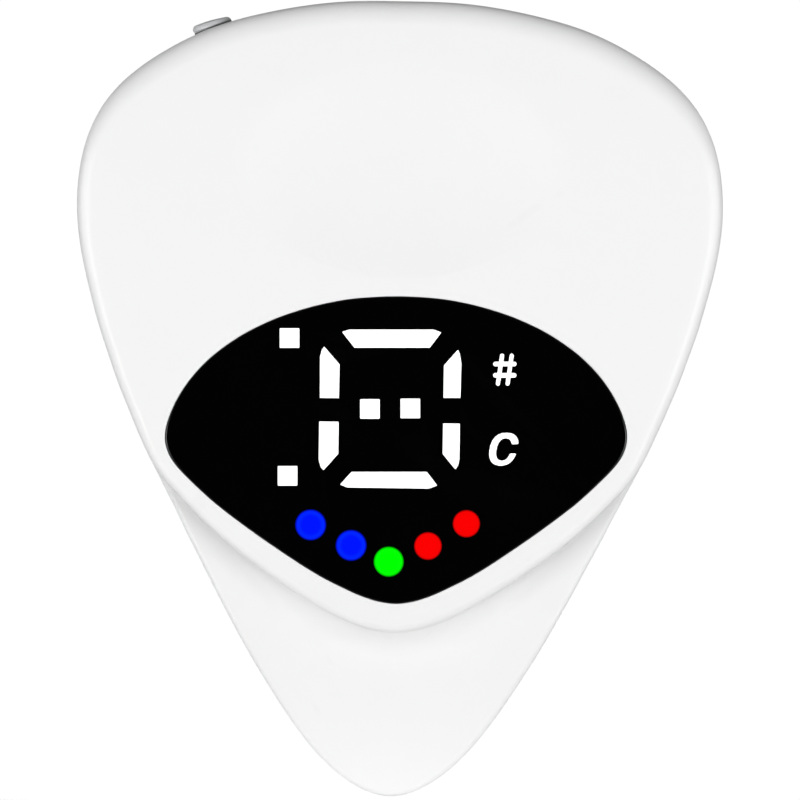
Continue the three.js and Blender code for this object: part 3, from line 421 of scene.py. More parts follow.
def shade(o, angle, bevel=0.0, segments=2):
    """Smooth shading with hard edges kept, and small rounded edges if asked for."""
    o.data.polygons.foreach_set("use_smooth", [True] * len(o.data.polygons))
    if bevel:
        edges = o.modifiers.new("edges", "BEVEL")
        edges.width, edges.segments = bevel * 0.001, segments
        edges.limit_method, edges.angle_limit = "ANGLE", math.radians(angle)
        depsgraph = bpy.context.evaluated_depsgraph_get()
        mesh = bpy.data.meshes.new_from_object(o.evaluated_get(depsgraph))
        o.modifiers.remove(edges)
        o.data = mesh
    o.data.set_sharp_from_angle(angle=math.radians(angle))
    weighted = o.modifiers.new("normals", "WEIGHTED_NORMAL")
    weighted.keep_sharp = True


def tilted(o):
    """The display's own lean, given to a piece drawn upright."""
    centre = Vector(to_frame(0, 0, WINDOW_Z))
    o.data.transform(Matrix.Translation(centre) @ Matrix.Rotation(-DISPLAY_TILT, 4, "Y")
                     @ Matrix.Translation(-centre))
    return o


def flat_front(o):
    """Faces square to Y are shaded flat, so long thin triangles in them don't show."""
    for p in o.data.polygons:
        if abs(p.normal.y) > 0.99999:
            p.use_smooth = False


def round_rect(x0, x1, y0, y1, radius, seg=10):
    out = []
    corners = ((x1 - radius, y1 - radius, 0), (x0 + radius, y1 - radius, 90),
               (x0 + radius, y0 + radius, 180), (x1 - radius, y0 + radius, 270))
    for cx, cy, start in corners:
        for k in range(seg + 1):
            a = math.radians(start + 90 * k / seg)
            out.append((cx + radius * math.cos(a), cy + radius * math.sin(a)))
    return out


def socket_box(name, half_width, half_depth, bottom, top, radius, seg=10):
    """Upright block about the socket's middle, rounded when seen from above."""
    polygon = round_rect(-half_width, half_width, SOCKET_Y - half_depth, SOCKET_Y + half_depth,
                         radius, seg)
    return prism(name, polygon, bottom, top, "z")


# ---------------------------------------------------------------- node helpers
def node(tree, kind, inputs=None, **settings):
    """New node; an input is given a value or linked to another node's socket."""
    made = tree.nodes.new(kind)
    for key, value in settings.items():
        setattr(made, key, value)
    for key, value in (inputs or {}).items():
        if isinstance(value, bpy.types.NodeSocket):
            tree.links.new(value, made.inputs[key])
        else:
            made.inputs[key].default_value = value
    return made


def calc(tree, operation, *values):
    return node(tree, "ShaderNodeMath", dict(enumerate(values)), operation=operation).outputs[0]


def ramp(tree, source, from_min, from_max, to_min=0.0, to_max=1.0, kind="SMOOTHSTEP"):
    values = {0: source, 1: from_min, 2: from_max, 3: to_min, 4: to_max}
    return node(tree, "ShaderNodeMapRange", values, interpolation_type=kind).outputs[0]


def hump(tree, source, middle, width):
    """exp(-((source - middle) / width)^2)"""
    t = calc(tree, "MULTIPLY_ADD", source, 1 / width, -middle / width)
    return calc(tree, "EXPONENT", calc(tree, "MULTIPLY", calc(tree, "MULTIPLY", t, t), -1.0))


def total(tree, pairs):
    """Sum of weight times value."""
    out = None
    for weight, value in pairs:
        if out is None:
            out = calc(tree, "MULTIPLY", value, weight)
        else:
            out = calc(tree, "MULTIPLY_ADD", value, weight, out)
    return out


def distance(tree, a, b):
    squares = calc(tree, "ADD", calc(tree, "MULTIPLY", a, a), calc(tree, "MULTIPLY", b, b))
    return calc(tree, "SQRT", squares)


def mix_colour(tree, amount, first, second):
    return node(tree, "ShaderNodeMix", {0: amount, 6: first, 7: second},
                data_type="RGBA").outputs[2]


def axes(tree, source):
    """X, Y and Z of a position or direction."""
    return node(tree, "ShaderNodeSeparateXYZ", {0: source}).outputs


def object_axes(tree):
    return axes(tree, node(tree, "ShaderNodeTexCoord").outputs["Object"])


def principled(tree):
    return next(n for n in tree.nodes if n.type == "BSDF_PRINCIPLED")


def tint_base(tree, amount, colour):
    """Lays a colour over a finished material's base colour."""
    base = principled(tree).inputs["Base Color"]
    tree.links.new(mix_colour(tree, amount, base.links[0].from_socket, colour), base)


# ---------------------------------------------------------------- materials
def material(name, colour, rough, vary, vary_mm, bump, bump_mm, metal=0.0, spec=0.5,
             rough_vary=0.05, wear=0.0, glow=0.0, streak=(1, 1, 1)):
    """Surface with uneven colour and roughness, a fine bump and worn edges.

    vary and rough_vary are how much colour and roughness change, over patches of about
    vary_mm; bump is the strength of a grain of bump_mm; streak scales the patterns by axis.
    """
    m = bpy.data.materials.new(name)
    m.use_nodes = True
    tree = m.node_tree
    tree.nodes.clear()
    c = np.array(colour, float)
    coord = node(tree, "ShaderNodeTexCoord").outputs["Object"]
    millimetres = node(tree, "ShaderNodeMapping",
                       {0: coord, "Scale": tuple(1000 * s for s in streak)}).outputs[0]

    def noise(size, detail):
        return node(tree, "ShaderNodeTexNoise",
                    {"Vector": millimetres, "Scale": 1 / size, "Detail": detail}).outputs[0]

    patches = noise(vary_mm, 3)
    grain = noise(bump_mm, 4)
    smudge = noise(vary_mm * 0.7, 2)
    base = mix_colour(tree, patches, (*np.clip(c * (1 - vary), 0, 1), 1),
                      (*np.clip(c * (1 + vary * 0.6), 0, 1), 1))
    roughness = ramp(tree, smudge, 0.2, 0.8, max(0.02, rough - rough_vary), rough + rough_vary,
                     kind="LINEAR")
    # worn edges: a little duller and greyer where the surface turns outward
    pointiness = node(tree, "ShaderNodeNewGeometry").outputs["Pointiness"]
    edge = ramp(tree, pointiness, 0.56, 0.68, 0, wear, kind="LINEAR")
    worn = calc(tree, "MULTIPLY", edge, smudge)
    worn_colour = np.clip(c * 0.8 if c.mean() > 0.4 else c * 1.6 + 0.02, 0, 1)
    normal = node(tree, "ShaderNodeBump",
                  {"Strength": bump, "Distance": 0.0001, "Height": grain}).outputs[0]
    bsdf = node(tree, "ShaderNodeBsdfPrincipled", {
        "Base Color": mix_colour(tree, worn, base, (*worn_colour, 1)),
        "Roughness": calc(tree, "MULTIPLY_ADD", worn, 0.1, roughness),
        "Metallic": metal,
        "Specular IOR Level": spec,
        "Coat Roughness": 0.06,
        "Normal": normal,
    })
    if glow:
        bsdf.inputs["Emission Color"].default_value = (1, 1, 1, 1)
        bsdf.inputs["Emission Strength"].default_value = glow
    node(tree, "ShaderNodeOutputMaterial", {0: bsdf.outputs[0]})
    return m


WHITE = material("white_gloss", colour=(0.89, 0.89, 0.89), rough=0.305, spec=0.38, vary=0.005,
                 vary_mm=9, rough_vary=0.018, bump=0.03, bump_mm=0.7, wear=0.15)
WHITE_BACK = material("white_gloss_back", colour=(0.875, 0.875, 0.875), rough=0.32, spec=0.42,
                      vary=0.008, vary_mm=9, rough_vary=0.03, bump=0.08, bump_mm=0.35,
                      wear=0.25)
BLACK = material("black_gloss", colour=(0.0006, 0.0006, 0.0007), rough=0.04, vary=0.3,
                 vary_mm=5, rough_vary=0.015, bump=0.006, bump_mm=1.5, wear=0.03)
GUIDE = material("frosted_white", colour=(0.93, 0.94, 0.93), rough=0.4, vary=0.01, vary_mm=1.2,
                 bump=0.05, bump_mm=0.15, glow=0.55)
BUTTON = material("button_grey", colour=(0.62, 0.63, 0.64), rough=0.34, vary=0.03, vary_mm=0.8,
                  bump=0.04, bump_mm=0.2, wear=0.2)
RUBBER = material("rubber", colour=(0.030, 0.031, 0.033), rough=0.72, spec=0.35, vary=0.25,
                  vary_mm=1.6, rough_vary=0.1, bump=0.5, bump_mm=0.12, wear=0.5)
STEEL = material("steel", colour=(0.62, 0.63, 0.65), rough=0.34, metal=1.0, vary=0.06,
                 vary_mm=1.5, bump=0.12, bump_mm=0.1, wear=0.3, streak=(0.15, 1, 1))
SPRING = material("spring_steel", colour=(0.50, 0.51, 0.53), rough=0.36, metal=1.0, vary=0.1,
                  vary_mm=0.8, rough_vary=0.07, bump=0.15, bump_mm=0.08, wear=0.3)
BOARD = material("board_green", colour=(0.02, 0.12, 0.05), rough=0.4, vary=0.1, vary_mm=3,
                 bump=0.1, bump_mm=0.2, wear=0.2)
CHIP = material("chip", colour=(0.012, 0.012, 0.013), rough=0.5, vary=0.2, vary_mm=1,
                bump=0.3, bump_mm=0.08, wear=0.2)
BAFFLE = material("baffle_grey", colour=(0.58, 0.58, 0.57), rough=0.5, vary=0.03, vary_mm=2,
                  bump=0.1, bump_mm=0.1, wear=0.2)
LAMP = material("lamp", colour=(0.85, 0.8, 0.55), rough=0.4, vary=0.05, vary_mm=0.4,
                bump=0.1, bump_mm=0.1, wear=0.1)
FOIL = material("cell_foil", colour=(0.5, 0.52, 0.55), rough=0.35, metal=0.7, vary=0.06,
                vary_mm=4, bump=0.3, bump_mm=0.6, wear=0.3)
FOAM = material("foam", colour=(0.04, 0.042, 0.045), rough=0.9, vary=0.2, vary_mm=0.6,
                bump=0.6, bump_mm=0.15, wear=0.2)
BRASS = material("brass", colour=(0.5, 0.34, 0.1), rough=0.35, metal=0.9, vary=0.08,
                 vary_mm=2, bump=0.1, bump_mm=0.2, wear=0.3)
LEAD_RED = material("lead_red", colour=(0.45, 0.012, 0.01), rough=0.45, vary=0.08, vary_mm=1,
                    bump=0.1, bump_mm=0.1, wear=0.2)
LEAD_BLACK = material("lead_black", colour=(0.01, 0.01, 0.01), rough=0.45, vary=0.2, vary_mm=1,
                      bump=0.1, bump_mm=0.1, wear=0.2)


def lamp_material(name, x, z, radius, core, rim):
    """Lit lamp: an even glow, a slightly different ring near the rim and a soft fall-off."""
    m = material(name, colour=[v * 0.02 for v in core], rough=0.35, spec=0.0, vary=0.2,
                 vary_mm=0.6, rough_vary=0.04, bump=0.03, bump_mm=0.2)
    tree = m.node_tree
    bsdf = principled(tree)
    at_x, _, at_z = object_axes(tree)
    # the lamp's centre, carried round by the display's lean
    c, s = math.cos(DISPLAY_TILT), math.sin(DISPLAY_TILT)
    centre_x = x * c - (z - WINDOW_Z) * s
    centre_z = WINDOW_Z + x * s + (z - WINDOW_Z) * c
    across = calc(tree, "MULTIPLY_ADD", at_x, 1000 / radius, -centre_x / radius)
    up = calc(tree, "MULTIPLY_ADD", at_z, 1000 / radius, -(centre_z - FRAME_Z) / radius)
    from_centre = distance(tree, across, up)           # 1 at the rim
    near_rim = calc(tree, "MULTIPLY", ramp(tree, from_centre, 0.55, 0.8),
                    ramp(tree, from_centre, 0.82, 0.97, 1.0, 0.3))
    glow = mix_colour(tree, near_rim, (*core, 1), (*rim, 1))
    tree.links.new(glow, bsdf.inputs["Emission Color"])
    strength = ramp(tree, from_centre, 0.86, 1.0, 1.0, 0.32)
    tree.links.new(strength, bsdf.inputs["Emission Strength"])
    return m


def paint(o, m, body, replaced):
    """Gives a piece its material, hangs it on the body it moves with and hides the CAD part it
    stands for.
    """
    o.data.materials.clear()
    o.data.materials.append(m)
    for p in o.data.polygons:
        p.material_index = 0
    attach(o, body)
    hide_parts(replaced)


def paint_shade_under_lip(m):
    """Painted shade in the corner under the two sloping sides of the lip: the base colour is
    darkened where ambient occlusion finds the corner.
    """
    tree = m.node_tree
    occlusion = node(tree, "ShaderNodeAmbientOcclusion", {"Distance": 0.0016},
                     samples=12, only_local=True)
    x, _, z = object_axes(tree)
    away = ramp(tree, calc(tree, "ABSOLUTE", x), 0.002, 0.009)
    low = ramp(tree, z, (18.0 - FRAME_Z) / 1000, (20.5 - FRAME_Z) / 1000, 1.0, 0.0)
    shut = calc(tree, "SUBTRACT", 1.0, occlusion.outputs["AO"])
    painted_shade_strength = 0.58
    amount = calc(tree, "MULTIPLY", calc(tree, "MULTIPLY", shut, painted_shade_strength),
                  calc(tree, "MULTIPLY", away, low))
    # painted shade: grey laid over the base colour, as far as the corner is occluded
    tint_base(tree, amount, (0.28, 0.28, 0.28, 1))


# painted shade under the lip, on the white shell
paint_shade_under_lip(WHITE)


# ---------------------------------------------------------------- power button's place
def button_place():
    """Point on the upper left edge, the button's own direction and the edge's, all [x, z]."""
    def on_edge(degrees):
        a = math.radians(degrees)
        r = body_radius(degrees)
        return np.array([-r * math.cos(a), BODY_Z + r * math.sin(a)])
    degrees = 180 - BUTTON_DEG
    a, b = on_edge(degrees - 0.5), on_edge(degrees + 0.5)
    t = (b - a) / np.linalg.norm(b - a)
    n = np.array([-t[1], t[0]])
    if n[1] < 0:
        n = -n
    c, s = math.cos(-BUTTON_TILT), math.sin(-BUTTON_TILT)
    return on_edge(degrees), np.array([n[0] * c - n[1] * s, n[0] * s + n[1] * c]), n


BUTTON_FOOT, BUTTON_AXIS, EDGE_NORMAL = button_place()


def along_button(name, profile):
    return turned(name, profile, (BUTTON_FOOT[0], BUTTON_Y, BUTTON_FOOT[1]),
                  (BUTTON_AXIS[0], 0, BUTTON_AXIS[1]), 72)


# ---------------------------------------------------------------- front shell
def dish_depth(x, z):
    """Depth of the shallow oval dish above the display."""
    r2 = (x / DISH_HALF_WIDTH) ** 2 + ((z - DISH_Z) / DISH_HALF_HEIGHT) ** 2
    depth = DISH_DEPTH * (1 - r2)
    soft = 0.012                      # its rim is rounded over about this depth
    return (0.5 * (depth + np.sqrt(depth * depth + soft * soft))
            - 0.5 * soft * np.exp(-np.abs(depth) / soft))


def parting_rings(outline):
    """Start of a shell solid at its back: a small rounded edge and a short straight wall."""
    return [ring(inset(outline, PARTING_EDGE), PARTING_Y),
            ring(inset(outline, 0.035), PARTING_Y - 0.035),
            ring(outline, PARTING_Y - PARTING_EDGE), ring(outline, PARTING_Y - 2 * PARTING_EDGE)]


def head_solid():
    radius = front_edge_radius(HEAD)
    rings = parting_rings(HEAD)
    rings += [ring(HEAD, (PARTING_Y + HEAD_Y) / 2), ring(HEAD, HEAD_Y + radius + 0.2)]
    rings += [ring(q, HEAD_Y + gap) for q, gap in edge_steps(HEAD, radius, 15)]
    centre = np.array([0, 0, BODY_Z + 1.5])
    steps = 84
    rings += face_rings(rings[-1], centre, [1 - k / steps for k in range(1, steps)],
                        lambda x, z: HEAD_Y + dish_depth(x, z))
    middle_y = HEAD_Y + float(dish_depth(0, centre[2]))
    return loft("front_shell_visual", rings, end=(0, middle_y, centre[2]))


def lip_distance(x, z):
    """How far points stand outside the head's outline; zero inside it."""
    points = np.c_[np.abs(x), z]
    a, b = HEAD[:-1], HEAD[1:]
    ab = b - a
    t = np.clip(((points[:, None] - a) * ab).sum(2) / (ab * ab).sum(1), 0, 1)
    nearest = np.sqrt(((a + t[..., None] * ab - points[:, None]) ** 2).sum(2)).min(1)
    degrees = np.degrees(np.arctan2(points[:, 1] - BODY_Z, points[:, 0]))
    inside = np.hypot(points[:, 0], points[:, 1] - BODY_Z) <= head_radius(degrees)
    return np.where(inside, 0, nearest)


def fillet(x, z):
    """Sweep of the tip's surface into the lip's foot; widest under the lip's lowest point."""
    k = smoothstep(z, 9.5, 15.5)
    width = FOOT_WIDTH[0] + (FOOT_WIDTH[1] - FOOT_WIDTH[0]) * k
    height = FOOT_HEIGHT[0] + (FOOT_HEIGHT[1] - FOOT_HEIGHT[0]) * k
    u = np.clip(1 - lip_distance(x, z) / width, 0, 1)
    return height * u ** 2.4 * (1 - smoothstep(z, 17.5, 19.0))


def wedge_solid():
    """The lower, set-back part of the shell, which runs on behind the head."""
    def surface(x, z):
        return tip_front(z) - fillet(x, z)
    wall = tip_front(BODY[:, 1]) + TIP_EDGE
    rings = parting_rings(BODY) + [ring(BODY, wall + 0.2), ring(BODY, wall)]
    rings += [ring(q, surface(q[:, 0], q[:, 1]) + gap)
              for q, gap in edge_steps(BODY, TIP_EDGE, 11)[1:]]
    # close rings where the fillet is, a few over the part hidden in the head
    scales = list(np.linspace(0.996, 0.58, 105)) + [0.5, 0.38, 0.26, 0.13]
    rings += face_rings(rings[-1], np.array([0, 0, BODY_Z]), scales, surface)
    return loft("wedge", rings, end=(0, STEP_Y, BODY_Z))


def hollow_solid():
    """The shell's inside: the head's pocket joined to the shallower one in the tip."""
    back = PARTING_Y + 1
    head = round_slab("hollow", inset(HEAD, WALL), HEAD_Y + FRONT_WALL, back,
                      front_round=0.5, steps=4)

    def surface(x, z):
        return tip_front(z) + TIP_WALL
    outline = inset(BODY, WALL)
    rings = [ring(outline, back), ring(outline, surface(0, outline[:, 1]))]
    rings += face_rings(rings[-1], np.array([0, 0, BODY_Z]),
                        [1 - k / 12 for k in range(1, 12)], surface)
    return join(head, loft("hollow_tip", rings, end=(0, STEP_Y + TIP_WALL, BODY_Z)))


def front_shell():
    shell = join(head_solid(), wedge_solid())
    hole = BUTTON_RADIUS + 0.07
    cut(shell, hollow_solid(),
        tilted(plain_slab("pocket", inset(WINDOW, -0.03), HEAD_Y - 1, WINDOW_BACK_Y + 0.02)),
        tilted(plain_slab("opening", inset(WINDOW, WINDOW_LEDGE), HEAD_Y - 1,
                          WINDOW_BACK_Y + 2)),
        along_button("hole", [(0, -2.4), (hole, -2.4), (hole, 0.4), (hole, 2.5), (0, 2.5)]),
        socket_box("slot", 4.72, 1.75, 45.0, 49.5, 1.2))
    shade(shell, 30)
    paint(shell, WHITE, "front_arm", "front_shell")


# ---------------------------------------------------------------- window and display marks
# All marks are drawn upright, as [x, z].
DIGIT_BARS = {
    "top": [(-3.28, 27.97), (-2.81, 28.12), (2.26, 28.12), (2.76, 27.94), (2.04, 26.99),
            (-2.51, 26.99)],
    "bottom": [(-3.40, 18.78), (-2.95, 18.59), (1.98, 18.52), (2.51, 18.72), (1.86, 19.57),
               (-2.68, 19.57)],
    "upper_left": [(-4.32, 27.11), (-4.17, 26.94), (-3.37, 26.01), (-3.41, 23.96),
                   (-4.60, 23.97), (-4.59, 26.47), (-4.48, 26.89)],
    "upper_right": [(3.74, 26.92), (3.86, 26.64), (3.95, 26.05), (3.89, 23.97), (2.83, 23.97),
                    (2.86, 25.95), (3.61, 26.80)],
    "lower_left": [(-4.64, 22.60), (-3.43, 22.58), (-3.45, 20.63), (-4.35, 19.62),
                   (-4.53, 19.79), (-4.67, 20.26)],
    "lower_right": [(2.81, 22.48), (3.86, 22.47), (3.83, 20.30), (3.76, 19.96), (3.59, 19.66),
                    (3.48, 19.76), (2.78, 20.63)],
}
SQUARES = [(-6.40, 27.59), (-6.52, 19.31), (-1.57, 23.33), (0.86, 23.36)]
SQUARE_HALF = 0.61
# round lamps: x, z, radius, colour
DOTS = [(-5.13, 16.36, 0.93, "blue"), (-2.70, 15.13, 0.93, "blue"), (-0.44, 14.15, 0.90, "green"),
        (1.92, 15.09, 0.83, "red"), (4.23, 16.43, 0.82, "red")]
# sharp sign: centre, size, bar width, lean of its uprights and offsets of the bars
SHARP_X, SHARP_Z, SHARP_WIDTH, SHARP_HEIGHT = 6.54, 25.69, 1.42, 1.97
SHARP_BAR, SHARP_LEAN, SHARP_DX, SHARP_DZ = 0.29, 0.148, 0.29, 0.34
# outline of the small letter at the lower right
LETTER = [
    (7.383, 21.248), (7.365, 21.437), (7.297, 21.608), (7.159, 21.780), (6.953, 21.883),
    (6.678, 21.917), (6.404, 21.900), (6.146, 21.814), (5.940, 21.660), (5.768, 21.437),
    (5.648, 21.145), (5.588, 20.818), (5.580, 20.518), (5.631, 20.278), (5.751, 20.089),
    (5.940, 19.960), (6.181, 19.900), (6.421, 19.900), (6.661, 19.960), (6.867, 20.080),
    (7.039, 20.252), (7.159, 20.441), (7.237, 20.621), (7.176, 20.673), (6.893, 20.673),
    (6.816, 20.630), (6.764, 20.518), (6.661, 20.372), (6.524, 20.269), (6.352, 20.235),
    (6.181, 20.278), (6.077, 20.389), (6.035, 20.578), (6.043, 20.801), (6.095, 21.059),
    (6.189, 21.282), (6.318, 21.445), (6.472, 21.531), (6.627, 21.548), (6.782, 21.505),
    (6.867, 21.419), (6.919, 21.299), (6.953, 21.205), (7.005, 21.179), (7.297, 21.196)]
MARK_CORNER = 0.05
MARK_GAP = 0.012                      # between a mark and its opening in the window
MARK_DEPTH = 0.35                     # depth of the openings
MARK_GROW = -0.022                    # marks are drawn smaller: lit, they look a little larger
MARK_FRONT_Y, MARK_BACK_Y = FACE_Y + 0.002, FACE_Y + MARK_DEPTH - 0.02
# glow of the round lamps: middle, ring near the rim
LAMP_GLOW = {
    "blue": ((0.0003, 0.0078, 1.0), (0.001, 0.020, 1.0)),
    "green": ((0.0006, 1.0, 0.0006), (0.002, 1.0, 0.002)),
    "red": ((0.96, 0.0008, 0.0008), (0.92, 0.0012, 0.0012)),
}


def rounded(polygon, radius, seg=5):
    """The polygon with its corners rounded."""
    polygon = [np.array(p, float) for p in polygon]
    out = []
    n = len(polygon)
    for k in range(n):
        p = polygon[k]
        u, v = polygon[k - 1] - p, polygon[(k + 1) % n] - p
        u_length, v_length = np.linalg.norm(u), np.linalg.norm(v)
        u, v = u / u_length, v / v_length
        half = math.acos(max(-1, min(1, float(u @ v)))) / 2
        t = min(radius / math.tan(half), 0.45 * u_length, 0.45 * v_length)
        r = t * math.tan(half)
        centre = p + (u + v) / np.linalg.norm(u + v) * r / math.sin(half)
        start, end = p + u * t - centre, p + v * t - centre
        a0, a1 = math.atan2(start[1], start[0]), math.atan2(end[1], end[0])
        turn = (a1 - a0 + math.pi) % (2 * math.pi) - math.pi
        for i in range(seg + 1):
            a = a0 + turn * i / seg
            out.append(tuple(centre + r * np.array([math.cos(a), math.sin(a)])))
    return out


def grow(polygon, amount):
    """The polygon with its sides moved outward."""
    polygon = np.asarray(polygon, float)
    before, after = np.roll(polygon, 1, axis=0), np.roll(polygon, -1, axis=0)
    doubled_area = np.sum(polygon[:, 0] * after[:, 1] - after[:, 0] * polygon[:, 1])
    sign = 1 if doubled_area > 0 else -1

    def outward(side):
        n = np.c_[side[:, 1], -side[:, 0]] * sign
        return n / np.linalg.norm(n, axis=1)[:, None]
    m = outward(polygon - before) + outward(after - polygon)
    q = (m * m).sum(1) / 2
    return [tuple(p) for p in polygon + m / q[:, None] * amount]


def capsule(x0, z0, x1, z1, width, seg=8):
    """Bar with rounded ends."""
    a = math.atan2(z1 - z0, x1 - x0)
    r = width / 2
    out = []
    for cx, cz, start in ((x1, z1, a - math.pi / 2), (x0, z0, a + math.pi / 2)):
        out += [(cx + r * math.cos(start + math.pi * k / seg),
                 cz + r * math.sin(start + math.pi * k / seg)) for k in range(seg + 1)]
    return out


def sharp_solid(front, back, amount):
    r = SHARP_BAR / 2
    half_width, half_height = SHARP_WIDTH / 2 - r, SHARP_HEIGHT / 2 - r
    lean = SHARP_LEAN * half_height
    shapes = [capsule(SHARP_X + d - lean, SHARP_Z - half_height,
                      SHARP_X + d + lean, SHARP_Z + half_height, SHARP_BAR + 2 * amount)
              for d in (-SHARP_DX, SHARP_DX)]
    shapes += [capsule(SHARP_X - half_width, SHARP_Z + d, SHARP_X + half_width, SHARP_Z + d,
                       SHARP_BAR + 0.03 + 2 * amount)
               for d in (-SHARP_DZ, SHARP_DZ)]
    # small webs in the crossings, as in a moulded mark
    for i in (-1, 1):
        for j in (-1, 1):
            cx = SHARP_X + i * SHARP_DX + j * SHARP_DZ * SHARP_LEAN
            cz = SHARP_Z + j * SHARP_DZ
            e = SHARP_BAR * 0.86 + amount
            shapes.append([(cx + e, cz), (cx, cz + e), (cx - e, cz), (cx, cz - e)])
    # each a hair shorter than the last, so that no end faces coincide
    return join(*[prism(f"m_sharp_{k}", shape, front + 0.0001 * k, back - 0.0001 * k)
                  for k, shape in enumerate(shapes)])


def mark_solids(front, back, amount):
    """All marks but the round lamps, each grown by an amount."""
    out = [prism("m_" + name, grow(rounded(polygon, MARK_CORNER), amount), front, back)
           for name, polygon in DIGIT_BARS.items()]
    half = SQUARE_HALF + amount
    for k, (x, z) in enumerate(SQUARES):
        square = round_rect(x - half, x + half, z - half, z + half, 0.07 + amount, 6)
        out.append(prism(f"m_square_{k}", square, front, back))
    out.append(sharp_solid(front, back, amount))
    letter = grow(rounded(LETTER, MARK_CORNER, 3), amount)
    out.append(prism("m_letter", letter, front, back))
    return out


def display_window():
    window = round_slab("display_window_visual", WINDOW, FACE_Y, WINDOW_BACK_Y,
                        front_round=0.07, steps=8)
    front, back = FACE_Y - 0.5, FACE_Y + MARK_DEPTH
    cut(window, *mark_solids(front, back, MARK_GROW + MARK_GAP),
        *[rod_y("dot", x, z, radius + MARK_GAP, front, back, 96) for x, z, radius, _ in DOTS])
    shade(window, 30)
    flat_front(window)
    tilted(window)
    paint(window, BLACK, "front_arm", "display_window")


def segment_light_guide():
    guide, *others = mark_solids(MARK_FRONT_Y, MARK_BACK_Y, MARK_GROW)
    guide.name = "segment_light_guide_visual"
    join(guide, *others)
    shade(guide, 30)
    flat_front(guide)
    tilted(guide)
    paint(guide, GUIDE, "front_arm", "segment_light_guide")


def dot_light_pipes():
    for k, (x, z, radius, colour) in enumerate(DOTS, 1):
        profile = [(0, MARK_FRONT_Y), (radius - 0.03, MARK_FRONT_Y), (radius, FACE_Y + 0.03),
                   (radius, MARK_BACK_Y), (0, MARK_BACK_Y)]
        pipe = turned(f"dot_light_pipe_{k}_visual", profile, (x, 0, z), (0, 1, 0), 96)
        shade(pipe, 30)
        tilted(pipe)
        m = lamp_material(f"pipe_{colour}_{k}", x, z, radius, *LAMP_GLOW[colour])
        paint(pipe, m, "front_arm", f"dot_light_pipe_{k}")


# ---------------------------------------------------------------- power button
def paint_shadow_at_button_foot(m):
    """Painted shadow: a dark line round the foot of the cap, along the shell's surface."""
    tree = m.node_tree
    at_x, _, at_z = object_axes(tree)
    x = calc(tree, "MULTIPLY_ADD", at_x, 1000, -BUTTON_FOOT[0])
    z = calc(tree, "MULTIPLY_ADD", at_z, 1000, FRAME_Z - BUTTON_FOOT[1])
    normal_x, normal_z = (float(v) for v in EDGE_NORMAL)
    level = calc(tree, "ADD", calc(tree, "MULTIPLY", x, normal_x),
                 calc(tree, "MULTIPLY", z, normal_z))
    along = calc(tree, "SUBTRACT", calc(tree, "MULTIPLY", x, normal_z),
                 calc(tree, "MULTIPLY", z, normal_x))
    # the shell curves away to both sides
    level = calc(tree, "MULTIPLY_ADD", calc(tree, "MULTIPLY", along, along), 1 / 36, level)
    # painted shadow: near black laid over the cap's colour close to the shell's surface
    tint_base(tree, ramp(tree, level, 0.055, 0.15, 0.88, 0.0), (0.03, 0.03, 0.032, 1))


def power_button():
    r, flange = BUTTON_RADIUS, BUTTON_FLANGE
    profile = [(0, -1.98), (flange - 0.04, -1.98), (flange, -1.94), (flange, -1.66),
               (r, -1.66), (r, -0.6), (r, -0.22)]
    # a narrow groove runs round the cap where it leaves the shell
    profile += [(r - 0.05, -0.17), (r - 0.05, 0.03), (r, 0.08), (r, 0.14)]
    # rounded edge and slightly domed top
    profile += [(r - 0.30 * (1 - math.cos(a)), 0.14 + 0.28 * math.sin(a))
                for a in np.linspace(0.15, math.pi / 2, 9)]
    profile += [(0.6, 0.445), (0.3, 0.463), (0, 0.47)]
    button = along_button("power_button_visual", profile)
    shade(button, 40)
    # painted shadow at the foot of the cap
    paint_shadow_at_button_foot(BUTTON)
    paint(button, BUTTON, "button", "power_button")


# ---------------------------------------------------------------- back cover and front pad
def pad_outline():
    """The body's outline set inward, cut off at PAD_TOP with rounded corners."""
    body = inset(half_outline(body_radius, BODY_Z, 400), PAD_INSET)
    out = [tuple(p) for p in body if p[1] < PAD_TOP - PAD_CORNER]
    x, z = out[-1]
    for k in range(1, 13):
        a = k / 12 * math.pi / 2
        out.append((x - PAD_CORNER * (1 - math.cos(a)), z + PAD_CORNER * math.sin(a)))
    out.append((0, out[-1][1]))
    return resample(out, 90)


PAD = pad_outline()


def ear_outline(foot, root_y):
    """Ear from its root to round the hinge, as [y, z]; foot is half its height at the root."""
    side = 1 if root_y < HINGE_Y else -1
    # waisted flank from the foot to the round end: y, height from the hinge's middle
    flank = [(root_y + (HINGE_Y - root_y) * k / 12,
              foot - (foot - EAR_RADIUS) * math.sin(k / 12 * math.pi / 2))
             for k in range(12)]
    round_end = []
    for k in range(25):
        a = math.radians(-90 + 7.5 * k)
        round_end.append((HINGE_Y + side * EAR_RADIUS * math.cos(a),
                          HINGE_Z + EAR_RADIUS * math.sin(a)))
    return ([(y, HINGE_Z - h) for y, h in flank] + round_end
            + [(y, HINGE_Z + h) for y, h in reversed(flank)])


def join_ears(target, foot, root_y, inner_x, outer_x):
    for side in (-1, 1):
        start, end = sorted((side * inner_x, side * outer_x))
        ear = prism("ear", ear_outline(foot, root_y), start, end, "x")
        shade(ear, 35, bevel=0.22, segments=3)
        ear.modifiers.clear()
        join(target, ear)


